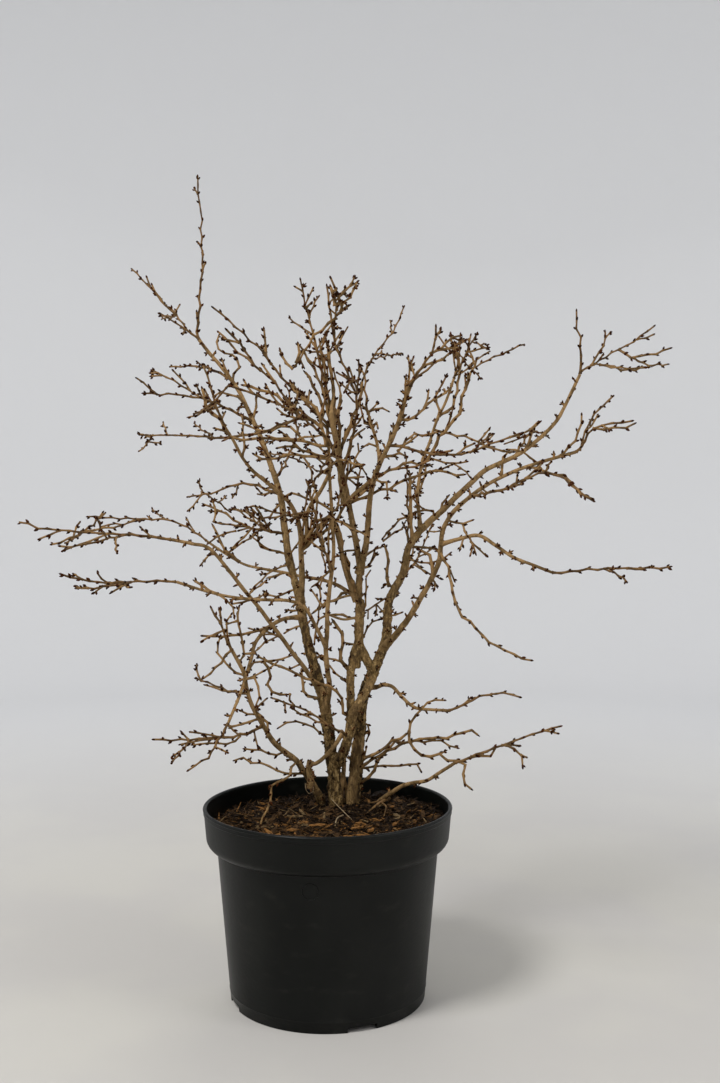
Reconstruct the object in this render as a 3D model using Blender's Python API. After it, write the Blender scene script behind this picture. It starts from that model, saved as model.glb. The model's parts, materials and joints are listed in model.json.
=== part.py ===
"""A potted kojo-no-mai fuji cherry in winter: a bare shrub of three thick stems in a round nursery pot.

Metres, +Z up. The origin is the middle of the pot's flat underside, and -Y is the plant's front.
Ways of limbs are in centimetres, because that is how a plant is measured.
"""

import math
import random
from typing import NamedTuple

import bmesh
import bpy
import numpy as np
from mathutils import Matrix, Vector

# The pot, a thin moulded shell with a wide collar and a drain channel under its floor
POT_HEIGHT = 0.212
RIM_RADIUS = 0.138
COLLAR_HEIGHT = 0.044
COLLAR_FOOT_RADIUS = 0.1345
SHOULDER_SIZE = 0.012
FOOT_RADIUS = 0.1078
WALL = 0.002
RIM_BEAD = 0.002
EDGE = 0.001
FLOOR = 0.0025
CHANNEL_HEIGHT = 0.006
CHANNEL_INNER_RADIUS = 0.084
CHANNEL_OUTER_RADIUS = 0.103
POT_SIDES = 44
NOTCH_COUNT = 4
NOTCH_WIDTH = 0.032
NOTCH_DEPTH = 0.014
NOTCH_LINTEL = 0.0003
FIRST_NOTCH_ANGLE = math.radians(-69)
DRAIN_HOLE_RADIUS = 0.004

# The bark mulch, which fills the pot and rises a little under the plant
MULCH_TOP = 0.198
MULCH_TOP_RADIUS = 0.085
MULCH_EDGE = 0.191
MULCH_BULGE = 0.6
MULCH_CHAMFER = 0.003

# Clearances: between solids that touch, and between twigs that only pass each other
GAP = 0.0003
TWIG_CLEARANCE = 0.0014
BALL_SPACING = 0.002

# Limbs
LIMB_STEP = 0.024
LIMB_KNOBBLE = 0.0009
FLARE_SHARE = 0.2
FLARE_HEIGHT = 0.018
LIMB_TAPER = 1.35

# Twigs. A three-sided twig is drawn fatter by TRIANGLE_FAT, so that it looks as wide as a round one.
MAIN_TWIG_RADIUS = 0.0018
MAIN_TWIG_SHARE = 0.8
TWIG_STEP = 0.021
TWIG_KNOBBLE = 0.0016
TWIG_TIP_RADIUS = 0.0008
TRIANGLE_FAT = 1.2
FORK_SHARE = 0.55
TURN_COST = 1.6
FREE_LENGTH = 0.012
SIDE_FREE_LENGTH = 0.008
STRAIGHT_START = 0.004
BUD_LENGTH = 0.0065
BUD_RADIUS = 0.0016
BUD_SHARE = 0.4
SWERVE = 0.007
ROOM_MARGIN = 0.012
NODE_TURN = math.radians(137.5)
SIDE_CHANCE = 0.52
SIDE_ANGLE = (math.radians(36), math.radians(62))
SIDE_LENGTH = (0.024, 0.078)
SIDE_SHORTENING = 0.6
SHORTEST_TWIG = 0.014
SIDE_SWAY = 0.16
UPWARD = 0.07


class Limb(NamedTuple):
    """A stem or a bough: what carries it, its radii in millimetres at foot and tip, its sides, its way.

    A limb whose tip has grown into another names that limb in joins.
    """

    parent: str | None
    foot_radius: float
    tip_radius: float
    sides: int
    way: list
    joins: str | None = None


class Mass(NamedTuple):
    """A mass of twigs: the limb that carries it, its seed, and the ways of its main twigs to their tips.

    The first way starts at the carrying limb's tip, or where that limb passes nearest to leaves_at.
    """

    parent: str
    seed: int
    leaves_at: tuple | None
    ways: list


class Path(NamedTuple):
    """The points along a limb or a twig, and its radius at each."""

    points: list
    radii: list


LIMBS = {
    "stem_left": Limb(None, 7.7, 2.2, 10, [
        (0.8, 5.5, 19.8), (0.3, 4.6, 25.5), (-0.6, 5, 32), (-1.9, 5.5, 36.5), (-3.5, 6.2, 43.5),
        (-5, 7.5, 50), (-5.7, 8.5, 55), (-7.5, 10, 60.5), (-11, 12, 68), (-16, 14, 74.5),
    ]),
    "stem_middle": Limb("stem_left", 5.9, 2.8, 10, [
        (0.8, 4.7, 24), (1.7, 3.5, 26.5), (2.5, 3.5, 29.3), (2.5, 4.4, 32.4), (2.4, 5, 34.7),
        (2.9, 5.5, 37.1), (3.4, 5.5, 39.1), (3.5, 5.5, 43.5), (3.5, 5.5, 47.8), (2.4, 5, 53.6),
        (1.7, 4.3, 57.2), (0.4, 4, 64),
    ]),
    "stem_right": Limb(None, 7.6, 2, 10, [
        (2.7, 5.7, 19.8), (3.3, 5.9, 26), (3.8, 6, 31.8), (4.6, 6, 34), (6.5, 6.2, 38.5),
        (6.9, 7.5, 43), (8.6, 8, 46.5), (9.5, 8, 49.7), (11.5, 9, 52.2), (18.5, 10, 58.5),
        (22.5, 10.5, 60.5), (27, 11, 64.5), (29.8, 11, 70),
    ]),
    "stem_cross": Limb("stem_middle", 4.9, 4.5, 8, [
        (2.5, 3.6, 29.7), (3.3, 3.3, 31.6), (4.3, 4.2, 33), (5.2, 6, 34.6),
    ], "stem_right"),
    "stem_low_left": Limb(None, 4.4, 2, 8, [
        (-0.9, 5.2, 19.8), (-2.2, 3.4, 23), (-3.6, 1.2, 25.8), (-5.9, 0, 27.8), (-8.3, -2, 32.6),
        (-9.1, -3, 36.3), (-10.2, -4, 38.8),
    ]),
    "stem_low_right": Limb(None, 2.7, 1.9, 6, [
        (5.8, 4.9, 19.8), (7.4, 3.2, 21.8), (8.4, 2.4, 22.7), (11, 0, 23.8), (14, -2, 26.2),
    ]),
    "bough_inner_left": Limb("stem_left", 4.0, 1.7, 8, [
        (-3.3, 6, 42.5), (-3.1, 4.8, 46), (-3.3, 4.2, 51), (-4.4, 3, 54.6), (-8.3, 0, 58.2),
        (-11, -3, 62.8),
    ]),
    "bough_slim": Limb("stem_left", 3.3, 1.8, 8, [
        (-0.3, 5, 30.5), (0.1, 3.4, 33.5), (-0.2, 2.8, 38), (0, 3, 44), (0.5, 3, 48.5),
        (0.4, 1.6, 54.4), (0.2, -2.6, 60.8),
    ]),
    "bough_centre_right": Limb("stem_middle", 4.0, 2.2, 8, [
        (3.5, 5.5, 46.5), (4.2, 4.4, 50), (5.1, 2.5, 57), (7.3, -1, 62), (8.9, -5, 67),
    ]),
    "bough_back": Limb("bough_centre_right", 2.3, 1.6, 6, [
        (5.1, 2.7, 56.5), (5.7, 5.5, 59.6), (5.3, 9, 63), (4.5, 11, 65.5),
    ]),
    "bough_right": Limb("stem_right", 4.0, 1.8, 8, [
        (6.4, 6.2, 37.6), (8.3, 4, 40.4), (11.4, 2, 45.6), (12.3, 1, 48), (12.8, 0, 51.6),
        (15.2, -2, 55), (20, -4, 57.9), (26.5, -5, 60),
    ]),
    "bough_right_up": Limb("stem_right", 2.5, 1.7, 6, [
        (10.6, 8.7, 51.3), (10.5, 11, 55.5), (11.2, 13, 59.8), (15, 14, 69.8),
    ]),
    "bough_right_level": Limb("bough_right", 2.5, 1.7, 6, [
        (12.6, 0.4, 50), (16.4, -2, 51), (20, -4, 48.7), (24, -5, 47.2),
    ]),
    "bough_left_low": Limb("stem_left", 3.0, 1.9, 8, [
        (-0.8, 5.1, 32.6), (-2.9, 2.8, 36.2), (-7.5, -1, 43), (-10.4, -3, 47), (-12.5, -4, 49.6),
        (-16.5, -5, 50.7),
    ]),
    "bough_left_back": Limb("stem_middle", 2.4, 1.6, 6, [
        (3.5, 5.2, 43.5), (0.5, 8.6, 45.2), (-3.5, 11.2, 45.9), (-10.6, 14, 47.2), (-15.3, 15, 50),
    ]),
    "bough_left_level": Limb("bough_slim", 2.3, 1.6, 6, [
        (-0.2, 2.8, 38.3), (-2.6, 0.4, 43), (-5.9, -1.4, 44), (-10.8, -3.4, 44.5), (-16, -5, 46.2),
    ]),
    "bough_left_down": Limb("stem_left", 2.7, 1.7, 6, [
        (-3, 6, 41.4), (-5.4, 2.4, 41.4), (-7.8, -1, 39.4), (-9.2, -5, 34), (-10.3, -7, 31.4),
    ]),
    "bough_low_right": Limb("stem_right", 2.5, 1.7, 6, [
        (4.4, 6.3, 33.2), (5.5, 6.6, 33.3), (7.3, 3.4, 33.7), (9.6, 0, 31.9), (13.2, -3, 32.1),
    ]),
}

MASSES = {
    "twigs_top_left": Mass("stem_left", 11, None, [
        [(-15.5, 13.8, 85.2), (-15.9, 12.5, 94.1)],
        [(-20.6, 17.8, 79.3), (-25.5, 20.4, 84.5)],
        [(-20.5, 11.2, 77.4)],
        [(-22, 23, 78.5)],
    ]),
    "twigs_upper_left_side": Mass("stem_left", 12, (-12, 12.3, 69.5), [
        [(-15.4, 15.1, 71.3), (-20.6, 19.7, 71.9)],
        [(-15.7, 8.6, 71.3)],
    ]),
    "twigs_left_shoulder": Mass("stem_left", 13, (-9, 11, 64.4), [
        [(-14.7, 8, 66.8), (-21.3, 4, 67.1)],
        [(-18.5, 9, 69), (-21.3, 10, 70.5)],
        [(-20.1, 3, 67.4), (-21.4, 1, 68.6)],
        [(-10.8, 14.6, 67.1)],
    ]),
    "twigs_left_side": Mass("stem_left", 14, (-8.4, 10.6, 63), [
        [(-12.8, 12.7, 62.6), (-24.2, 17.8, 63.2)],
        [(-24.3, 23.7, 62.1)],
        [(-17.6, 20.4, 64.9)],
    ]),
    "twigs_left_inner": Mass("bough_inner_left", 15, None, [
        [(-12.8, -6.8, 66.6)],
        [(-13.1, -12.7, 63.4)],
        [(-9.2, -12, 66.7)],
    ]),
    "twigs_inner_left": Mass("bough_inner_left", 16, (-3.2, 4.7, 49), [
        [(-2.6, 1.6, 53.2), (-1.8, -3.6, 57.2)],
        [(-4.6, -2.1, 52.6)],
    ]),
    "twigs_front_left": Mass("bough_slim", 17, None, [
        [(-3.2, -9.4, 64.4), (-6.1, -13.4, 67.5), (-9.4, -17.3, 71.3)],
        [(-10.9, -11.2, 71.9)],
        [(-4.5, -20, 64)],
        [(-8.7, -20, 65.5)],
        [(-7.5, -11.5, 61.4)],
    ]),
    "twigs_front": Mass("bough_slim", 50, (0.4, 2.9, 47), [
        [(-0.9, -4, 51.6), (-1.9, -12, 57)],
        [(3.6, -13, 55.4)],
        [(-5.6, -13, 53)],
        [(1.4, -19, 60.4)],
    ]),
    "twigs_upper_left": Mass("stem_middle", 18, (0.7, 4, 63), [
        [(-4.2, 1.6, 67.7), (-8.4, -1, 72.3), (-12.5, -2.8, 75.8)],
        [(-7.2, 4, 74.5)],
        [(-5.6, 6, 71.6)],
        [(-3.2, -5.4, 71.8)],
    ]),
    "twigs_crown_left": Mass("stem_middle", 19, None, [
        [(-1.6, 4, 73.7), (-2.6, 4, 77), (-3.2, 3, 80)],
        [(-1.1, 7, 78.7)],
        [(-4.8, 8, 76.3)],
        [(0.6, 8.6, 73.6)],
    ]),
    "twigs_crown_centre": Mass("stem_middle", 20, (1.7, 4.4, 58), [
        [(2.9, 1.6, 63.3), (3.3, -1, 66), (1.4, -3.6, 70.3), (0, -4.1, 78)],
        [(1.2, -8.6, 76.8)],
        [(3.5, -0.2, 79)],
        [(2.5, -10.7, 74.6)],
        [(3.4, -9.4, 69.3)],
    ]),
    "twigs_crown_front": Mass("bough_centre_right", 21, None, [
        [(10.8, -9.4, 69.7), (11.2, -11.5, 72.6)],
        [(8.5, -14.7, 69.5)],
        [(12.5, -4.1, 70.1)],
        [(7.3, -16, 66.6)],
        [(10.7, -16.5, 66)],
    ]),
    "twigs_crown_back": Mass("bough_back", 22, None, [
        [(4.2, 13.8, 70.5), (7.4, 17, 75.9), (9.2, 19.1, 79.6)],
        [(9.2, 24.4, 74.2)],
        [(3, 21.7, 72.3)],
        [(5.8, 19.9, 67.3)],
    ]),
    "twigs_back_left": Mass("stem_left", 49, (-6.3, 9.2, 57.4), [
        [(-5.2, 15, 60.5), (-4, 22, 65)],
        [(-9.5, 24, 61)],
        [(-0.5, 24, 58.4)],
        [(-6, 21, 70)],
    ]),
    "twigs_right_mid": Mass("bough_centre_right", 23, (6.8, -0.2, 60.8), [
        [(13.4, -7.6, 59.5), (16, -10.7, 60.2), (19.8, -12, 61.6)],
        [(16.3, -17.8, 61.2)],
        [(14.7, -14.2, 56.9)],
    ]),
    "twigs_far_right": Mass("stem_right", 24, None, [
        [(29.1, 9.6, 77.6)],
        [(34.9, 13, 73.1), (39.2, 12.5, 76.1)],
        [(34.5, 17.8, 75.7)],
        [(39.7, 8, 72.6)],
        [(42.6, 19.1, 72.5)],
    ]),
    "twigs_right_over": Mass("stem_right", 25, (22, 10.5, 60.2), [
        [(25.8, 16.4, 64.9)],
        [(27.8, 21.7, 63.1)],
        [(21.7, 19.6, 62.1)],
    ]),
    "twigs_right": Mass("bough_right", 26, None, [
        [(27.6, -8.1, 62.2), (31.4, -10.7, 62.9)],
        [(28.3, -4.9, 63.9), (31.1, -2.3, 66.3)],
        [(28, -0.2, 64.6)],
        [(29.2, -14.7, 60.4)],
    ]),
    "twigs_right_under": Mass("bough_right", 27, (15.4, -2.1, 55.1), [
        [(18.7, -9.9, 56), (22.1, -12.8, 57.5), (26.1, -17.3, 54.8)],
        [(19.5, -16, 56.5)],
    ]),
    "twigs_right_level": Mass("bough_right_level", 28, None, [
        [(28.9, -8.1, 47.8), (35.4, -10.7, 48.1)],
        [(30.2, -13.4, 46.6)],
    ]),
    "twigs_right_hanging": Mass("bough_right", 29, (12.4, 0.9, 48.4), [
        [(13.6, -4.1, 44.1), (16.8, -8.1, 40.5), (20.9, -12, 38.7)],
        [(13.6, -9.4, 44.8)],
    ]),
    "twigs_crown_right": Mass("bough_right_up", 30, None, [
        [(15.7, 15.6, 72.8), (16, 16.4, 75.8)],
        [(17.6, 10.4, 75)],
        [(18.4, 6.6, 72.8)],
        [(21.2, 17, 73.1), (24.4, 19.1, 74.7)],
        [(15.2, 23, 76.5)],
        [(19.3, 23.8, 70.7)],
    ]),
    "twigs_inner_right": Mass("stem_right", 31, (9.4, 8, 49.4), [
        [(9.3, 11.7, 55), (9.1, 16.4, 61.1)],
        [(11.6, 19.1, 56)],
    ]),
    "twigs_inner_middle": Mass("stem_right", 32, (7.5, 7.7, 44.8), [
        [(7, 11.2, 49), (6.4, 19.1, 54.6)],
        [(3.6, 20.4, 51)],
    ]),
    "twigs_far_left": Mass("bough_left_low", 33, None, [
        [(-22.9, -7.3, 51.3), (-27.5, -8.1, 51.6), (-31.8, -9.4, 52.7)],
        [(-25.5, -16, 49.8)],
        [(-28.6, -2, 50.2)],
        [(-24.4, -0.2, 53.6)],
        [(-22.6, -13.4, 53.2)],
    ]),
    "twigs_left_back": Mass("bough_left_back", 34, None, [
        [(-21, 17.8, 52.7), (-29.8, 21.1, 51.6)],
        [(-30.1, 14.6, 53)],
        [(-23.7, 24.4, 54)],
    ]),
    "twigs_left_level": Mass("bough_left_level", 35, None, [
        [(-22.7, -8.1, 46.2), (-27.1, -10.7, 47.4)],
        [(-26.9, -4.9, 45.5)],
        [(-22, -15.2, 46.4)],
    ]),
    "twigs_left_mid": Mass("stem_left", 36, (-5.8, 8.7, 55.6), [
        [(-10.8, 11.2, 57), (-14.2, 13.8, 55.8), (-18.1, 17, 55.4)],
        [(-17, 21.7, 57.7)],
        [(-12.7, 19.7, 53.4)],
    ]),
    "twigs_left_mid_low": Mass("stem_left", 37, (-5.1, 7.7, 51), [
        [(-9.2, 5, 51.8), (-13.2, 3, 52.5)],
        [(-11.4, 7.6, 54.2)],
        [(-9.2, -0.7, 54.2)],
    ]),
    "twigs_left_down": Mass("bough_left_down", 38, None, [
        [(-11.7, -12, 29), (-13.6, -14.7, 28)],
        [(-9.1, -17.3, 29.9)],
    ]),
    "twigs_low_left": Mass("stem_low_left", 39, None, [
        [(-10.9, -6.8, 41.6), (-11.1, -8.1, 43.8)],
        [(-12.6, -12.8, 43.5)],
        [(-8.6, -13.4, 43.3)],
        [(-14.2, -0.2, 39.1)],
        [(-13.4, -2.8, 42.7)],
    ]),
    "twigs_low_left_back": Mass("stem_low_left", 40, (-8.7, -2.4, 33.8), [
        [(-12.5, 1, 34.1), (-15.2, 3.4, 34.8)],
        [(-12.2, 5, 37)],
    ]),
    "twigs_low_left_side": Mass("stem_low_left", 41, (-7.2, -1, 30.2), [
        [(-9.9, -5.4, 29.7), (-17.5, -12, 30.7)],
        [(-14.8, -16.8, 29.2)],
        [(-14.9, -4.1, 30)],
    ]),
    "twigs_low_left_fan": Mass("stem_low_left", 42, (-3.6, 1.2, 25.8), [
        [(-7.6, 4, 26.3), (-11.3, 6.4, 25)],
        [(-10, 10.5, 26.4)],
    ]),
    "twigs_low_left_droop": Mass("stem_low_left", 43, (-4.6, 0.6, 26.7), [
        [(-6, -2.3, 24.8), (-7.3, -6, 21.4)],
    ]),
    "twigs_between": Mass("stem_middle", 44, (2, 3.5, 28), [
        [(0.9, 0.4, 29.6), (-1.9, -1, 31.5), (-6.1, -4.6, 33.8)],
        [(-4.2, -7, 32.5)],
    ]),
    "twigs_low_right": Mass("stem_low_right", 45, None, [
        [(16.5, -4.1, 27.8), (19.9, -4.1, 28.9), (25.2, -5.4, 30.9)],
        [(20.3, -10.2, 27.2)],
        [(21.9, 0.6, 27.8)],
        [(15.2, -9.9, 25.1)],
    ]),
    "twigs_low_right_level": Mass("bough_low_right", 46, None, [
        [(17.2, -6.2, 34.5), (20.3, -9.4, 34.5)],
        [(12.4, -10.7, 34.8)],
    ]),
    "twigs_low_right_fan": Mass("stem_right", 47, (3.2, 5.9, 24.5), [
        [(6.8, 5.4, 27), (11.6, 4.6, 27.8), (16.7, 3.4, 28.8)],
        [(15.3, 9, 26)],
        [(10.4, 7, 31)],
    ]),
    "twigs_back": Mass("stem_right", 48, (6.9, 7.2, 42), [
        [(8.4, 12.5, 45), (11.1, 20.4, 47.9), (13.2, 27, 51.9)],
        [(6.1, 27, 46.8)],
        [(14.2, 21.7, 44.8)],
    ]),
}


def clear_scene():
    """Empties the scene that Blender starts with."""
    for obj in list(bpy.data.objects):
        bpy.data.objects.remove(obj)


def metres(place):
    """A place from the tables above, in metres."""
    return Vector(place) / 100


def finish(name, colour, roughness):
    """A plain finish in the real part's colour."""
    material = bpy.data.materials.new(name)
    material.use_nodes = True
    shader = material.node_tree.nodes["Principled BSDF"]
    shader.inputs["Base Color"].default_value = (*colour, 1)
    shader.inputs["Roughness"].default_value = roughness
    shader.inputs["Metallic"].default_value = 0
    return material


def new_object(name, bm, material):
    """Turns a finished bmesh into an object of its own, shaded smooth but for its sharp edges."""
    bmesh.ops.recalc_face_normals(bm, faces=bm.faces)
    mesh = bpy.data.meshes.new(name)
    bm.to_mesh(mesh)
    bm.free()
    mesh.shade_smooth()
    mesh.set_sharp_from_angle(angle=math.radians(40))
    mesh.materials.append(material)
    obj = bpy.data.objects.new(name, mesh)
    bpy.context.scene.collection.objects.link(obj)
    return obj


def apply_modifiers(obj):
    """Replaces an object's mesh with what its modifiers make of it."""
    graph = bpy.context.evaluated_depsgraph_get()
    made = bpy.data.meshes.new_from_object(obj.evaluated_get(graph))
    obj.modifiers.clear()
    obj.data = made


def cut(obj, cutter):
    """Cuts one object's solid out of another."""
    modifier = obj.modifiers.new("cut", "BOOLEAN")
    modifier.operation = "DIFFERENCE"
    modifier.solver = "EXACT"
    modifier.object = cutter
    apply_modifiers(obj)


# The pot and its mulch


def turned(name, profile, material):
    """Spins a profile of (radius, height) points round the pot's axis. It starts and ends on the axis."""
    bm = bmesh.new()
    points = [bm.verts.new((radius, 0, height)) for radius, height in profile]
    edges = [bm.edges.new(pair) for pair in zip(points, points[1:])]
    bmesh.ops.spin(
        bm, geom=points + edges, axis=(0, 0, 1), cent=(0, 0, 0),
        angle=math.tau, steps=POT_SIDES, use_merge=True, use_duplicate=False,
    )
    bmesh.ops.remove_doubles(bm, verts=bm.verts, dist=1e-6)
    return new_object(name, bm, material)


def wall_radius(height):
    """The outer radius of the pot's sloping body at a height."""
    collar_foot = POT_HEIGHT - COLLAR_HEIGHT
    top = COLLAR_FOOT_RADIUS - SHOULDER_SIZE
    return FOOT_RADIUS + (top - FOOT_RADIUS) * height / collar_foot


def shoulder(inset, steps=3):
    """The quarter round by which the body widens into the collar."""
    foot = POT_HEIGHT - COLLAR_HEIGHT
    middle = (COLLAR_FOOT_RADIUS - SHOULDER_SIZE - inset, foot + SHOULDER_SIZE + inset)
    for step in range(steps + 1):
        turn = math.radians(90) * step / steps
        yield middle[0] + SHOULDER_SIZE * math.sin(turn), middle[1] - SHOULDER_SIZE * math.cos(turn)


def inner_profile(inset, top_height, top_radius):
    """The inside of the pot from the floor's middle to a height, moved in by an inset."""
    roof = CHANNEL_HEIGHT + FLOOR + inset
    return [
        (0, FLOOR + inset),
        (CHANNEL_INNER_RADIUS - FLOOR - inset, FLOOR + inset),
        (CHANNEL_INNER_RADIUS - FLOOR - inset, roof),
        (wall_radius(roof) - WALL - inset, roof),
        *shoulder(WALL + inset),
        (top_radius, top_height),
    ]


def make_pot(material):
    """The moulded pot: body, collar and rim, with a raised drain channel under the floor."""
    outside = [
        (0, 0),
        (CHANNEL_INNER_RADIUS, 0),
        (CHANNEL_INNER_RADIUS, CHANNEL_HEIGHT),
        (CHANNEL_OUTER_RADIUS, CHANNEL_HEIGHT),
        (CHANNEL_OUTER_RADIUS, 0),
        (FOOT_RADIUS - EDGE, 0),
        (FOOT_RADIUS, EDGE),
        *shoulder(0),
        (RIM_RADIUS - EDGE / 2, POT_HEIGHT - RIM_BEAD - EDGE),
        (RIM_RADIUS, POT_HEIGHT - RIM_BEAD),
        (RIM_RADIUS - EDGE / 2, POT_HEIGHT),
    ]
    inside = inner_profile(0, POT_HEIGHT, RIM_RADIUS - WALL - EDGE / 2)
    pot = turned("pot", outside + inside[::-1], material)
    notches = bmesh.new()
    for number in range(NOTCH_COUNT):
        place = Matrix.Rotation(FIRST_NOTCH_ANGLE + math.tau * number / NOTCH_COUNT, 4, "Z")
        in_wall = (CHANNEL_OUTER_RADIUS + FOOT_RADIUS) / 2
        size = Matrix.Diagonal((NOTCH_DEPTH, NOTCH_WIDTH, 2 * CHANNEL_HEIGHT, 1))
        shape = place @ Matrix.Translation((in_wall, 0, -NOTCH_LINTEL)) @ size
        bmesh.ops.create_cube(notches, size=1, matrix=shape)
        in_channel = (CHANNEL_INNER_RADIUS + CHANNEL_OUTER_RADIUS) / 2
        hole = place @ Matrix.Translation((in_channel, 0, CHANNEL_HEIGHT))
        bmesh.ops.create_cone(
            notches, cap_ends=True, segments=10, matrix=hole,
            radius1=DRAIN_HOLE_RADIUS, radius2=DRAIN_HOLE_RADIUS, depth=4 * FLOOR,
        )
    cutter = new_object("pot_drain_cutter", notches, material)
    cut(pot, cutter)
    bpy.data.objects.remove(cutter)
    return pot


def make_mulch(material):
    """The filling of the pot, up to the surface that the stems stand on."""
    edge_radius = COLLAR_FOOT_RADIUS - WALL - GAP
    below = inner_profile(GAP, MULCH_EDGE - MULCH_CHAMFER, edge_radius)
    slope = MULCH_TOP - MULCH_EDGE
    top = [
        (edge_radius - MULCH_CHAMFER, MULCH_EDGE),
        ((COLLAR_FOOT_RADIUS + MULCH_TOP_RADIUS) / 2, MULCH_EDGE + MULCH_BULGE * slope),
        (MULCH_TOP_RADIUS, MULCH_TOP),
        (0, MULCH_TOP),
    ]
    return turned("mulch", below + top, material)


# The ways of limbs and twigs


def smooth_way(corners, step):
    """Points about a step apart on a smooth curve through the corners."""
    before = 2 * corners[0] - corners[1]
    after = 2 * corners[-1] - corners[-2]
    ring = [before, *corners, after]
    points = [corners[0]]
    for a, b, c, d in zip(ring, ring[1:], ring[2:], ring[3:]):
        pieces = max(1, round((c - b).length / step))
        for piece in range(1, pieces + 1):
            t = piece / pieces
            straight = 2 * b + (c - a) * t
            bend = (2 * a - 5 * b + 4 * c - d) * t**2 + (3 * b - a - 3 * c + d) * t**3
            points.append((straight + bend) / 2)
    return points


def knobbled(points, size, rng, fixed=1):
    """Moves all points but the first few and the last a little, as each node of a twig turns it a little."""
    free = points[fixed:-1]
    moves = [Vector(rng.uniform(-size, size) for _ in range(3)) for _ in free]
    return [*points[:fixed], *(point + move for point, move in zip(free, moves)), points[-1]]


def heading(points, at):
    """The direction of a way at one of its points."""
    return (points[min(at + 1, len(points) - 1)] - points[max(at - 1, 0)]).normalized()


def distances(points):
    """How far along its way each point lies."""
    along = [0.0]
    for a, b in zip(points, points[1:]):
        along.append(along[-1] + (b - a).length)
    return along


def nearest_on(path, place):
    """Where a way passes nearest to a place: the point, and the limb's radius there."""
    best = None
    for a, b, start, end in zip(path.points, path.points[1:], path.radii, path.radii[1:]):
        share = (place - a).dot(b - a) / (b - a).length_squared
        share = min(1, max(0, share))
        point = a.lerp(b, share)
        if best is None or (point - place).length < best[0]:
            best = ((point - place).length, point, start + share * (end - start))
    return best[1], best[2]


def limb_path(name, limb, paths):
    """A limb's way and radii: a slow taper, with a root flare where it stands on the mulch."""
    corners = [metres(place) for place in limb.way]
    fixed = 1
    if limb.parent:
        corners[0], _ = nearest_on(paths[limb.parent], corners[0])
    else:
        corners[0].z = MULCH_TOP + GAP
        corners.insert(1, corners[0] + Vector((0, 0, STRAIGHT_START)))
        fixed = 2
    points = knobbled(smooth_way(corners, LIMB_STEP), LIMB_KNOBBLE, random.Random(name), fixed)
    along = distances(points)
    radii = []
    for distance in along:
        share = 1 - distance / along[-1]
        radius = (limb.tip_radius + (limb.foot_radius - limb.tip_radius) * share**LIMB_TAPER) / 1000
        if limb.parent is None:
            radius += FLARE_SHARE * limb.foot_radius / 1000 * math.exp(-distance / FLARE_HEIGHT)
        radii.append(radius)
    return Path(points, radii)


class Grown:
    """Everything grown so far, as balls along its way, so that nothing new runs into it."""

    def __init__(self):
        self.centres = np.empty((0, 3))
        self.radii = np.empty(0)
        self.owners = np.empty(0, int)

    @staticmethod
    def balls(path):
        """Centres, radii and distances along the way of balls set close together."""
        centres, radii, along = [], [], []
        start = 0.0
        ends = zip(path.points, path.points[1:], path.radii, path.radii[1:])
        for a, b, first, last in ends:
            count = max(1, math.ceil((b - a).length / BALL_SPACING))
            for number in range(count):
                share = number / count
                centres.append(a.lerp(b, share))
                radii.append(first + share * (last - first))
                along.append(start + share * (b - a).length)
            start += (b - a).length
        centres.append(path.points[-1])
        radii.append(path.radii[-1])
        along.append(start)
        return np.array(centres), np.array(radii), np.array(along)

    def add(self, path, owner):
        centres, radii, _ = self.balls(path)
        self.centres = np.vstack([self.centres, centres])
        self.radii = np.append(self.radii, radii)
        self.owners = np.append(self.owners, np.full(len(radii), owner))

    def clear(self, path, relatives, free_length):
        """True where a way touches nothing. Its first stretch may be close to its own relatives."""
        centres, radii, along = self.balls(path)
        reach = radii.max() + self.radii.max(initial=0) + TWIG_CLEARANCE
        near = (self.centres > centres.min(axis=0) - reach).all(axis=1)
        near &= (self.centres < centres.max(axis=0) + reach).all(axis=1)
        if not near.any():
            return True
        apart = np.linalg.norm(centres[:, None] - self.centres[near][None], axis=2)
        needed = radii[:, None] + self.radii[near][None] + TWIG_CLEARANCE
        related = np.isin(self.owners[near], relatives)
        forgiven = related[None] & (along[:, None] < free_length)
        return not ((apart < needed) & ~forgiven).any()


# The twigs of one mass


def twig_path(points, base_radius):
    """A tapering twig that ends in a pointed bud."""
    along = distances(points)
    bud = min(BUD_LENGTH, BUD_SHARE * (points[-1] - points[-2]).length)
    tip = points[-1]
    back = (points[-2] - tip).normalized()
    points = [*points[:-1], tip + bud * back, tip]
    taper = (TWIG_TIP_RADIUS - base_radius) / along[-1]
    radii = [base_radius + taper * distance for distance in along[:-1]]
    radii += [BUD_RADIUS, TWIG_TIP_RADIUS / 2]
    return Path(points, [radius * TRIANGLE_FAT for radius in radii])


def best_fork(twigs, goal):
    """The node of a mass's twigs from which a new twig reaches its goal at the easiest angle."""
    best = None
    for path in twigs:
        for at in range(1, len(path.points) - 2):
            way = goal - path.points[at]
            if way.length < SHORTEST_TWIG:
                continue
            cost = way.length * (TURN_COST - heading(path.points, at).dot(way.normalized()))
            if best is None or cost < best[0]:
                best = (cost, path.points[at], path.radii[at] / TRIANGLE_FAT)
    return best[1], best[2]


def swerves():
    """Small steps to one side and the other, growing, by which a twig passes what is in its way."""
    yield Vector((0, 0, 0))
    for size in (1, 2, 3):
        for side in ((0, 1, 0), (0, -1, 0), (0, 0, 1), (0, 0, -1)):
            yield Vector(side) * size * SWERVE


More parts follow.
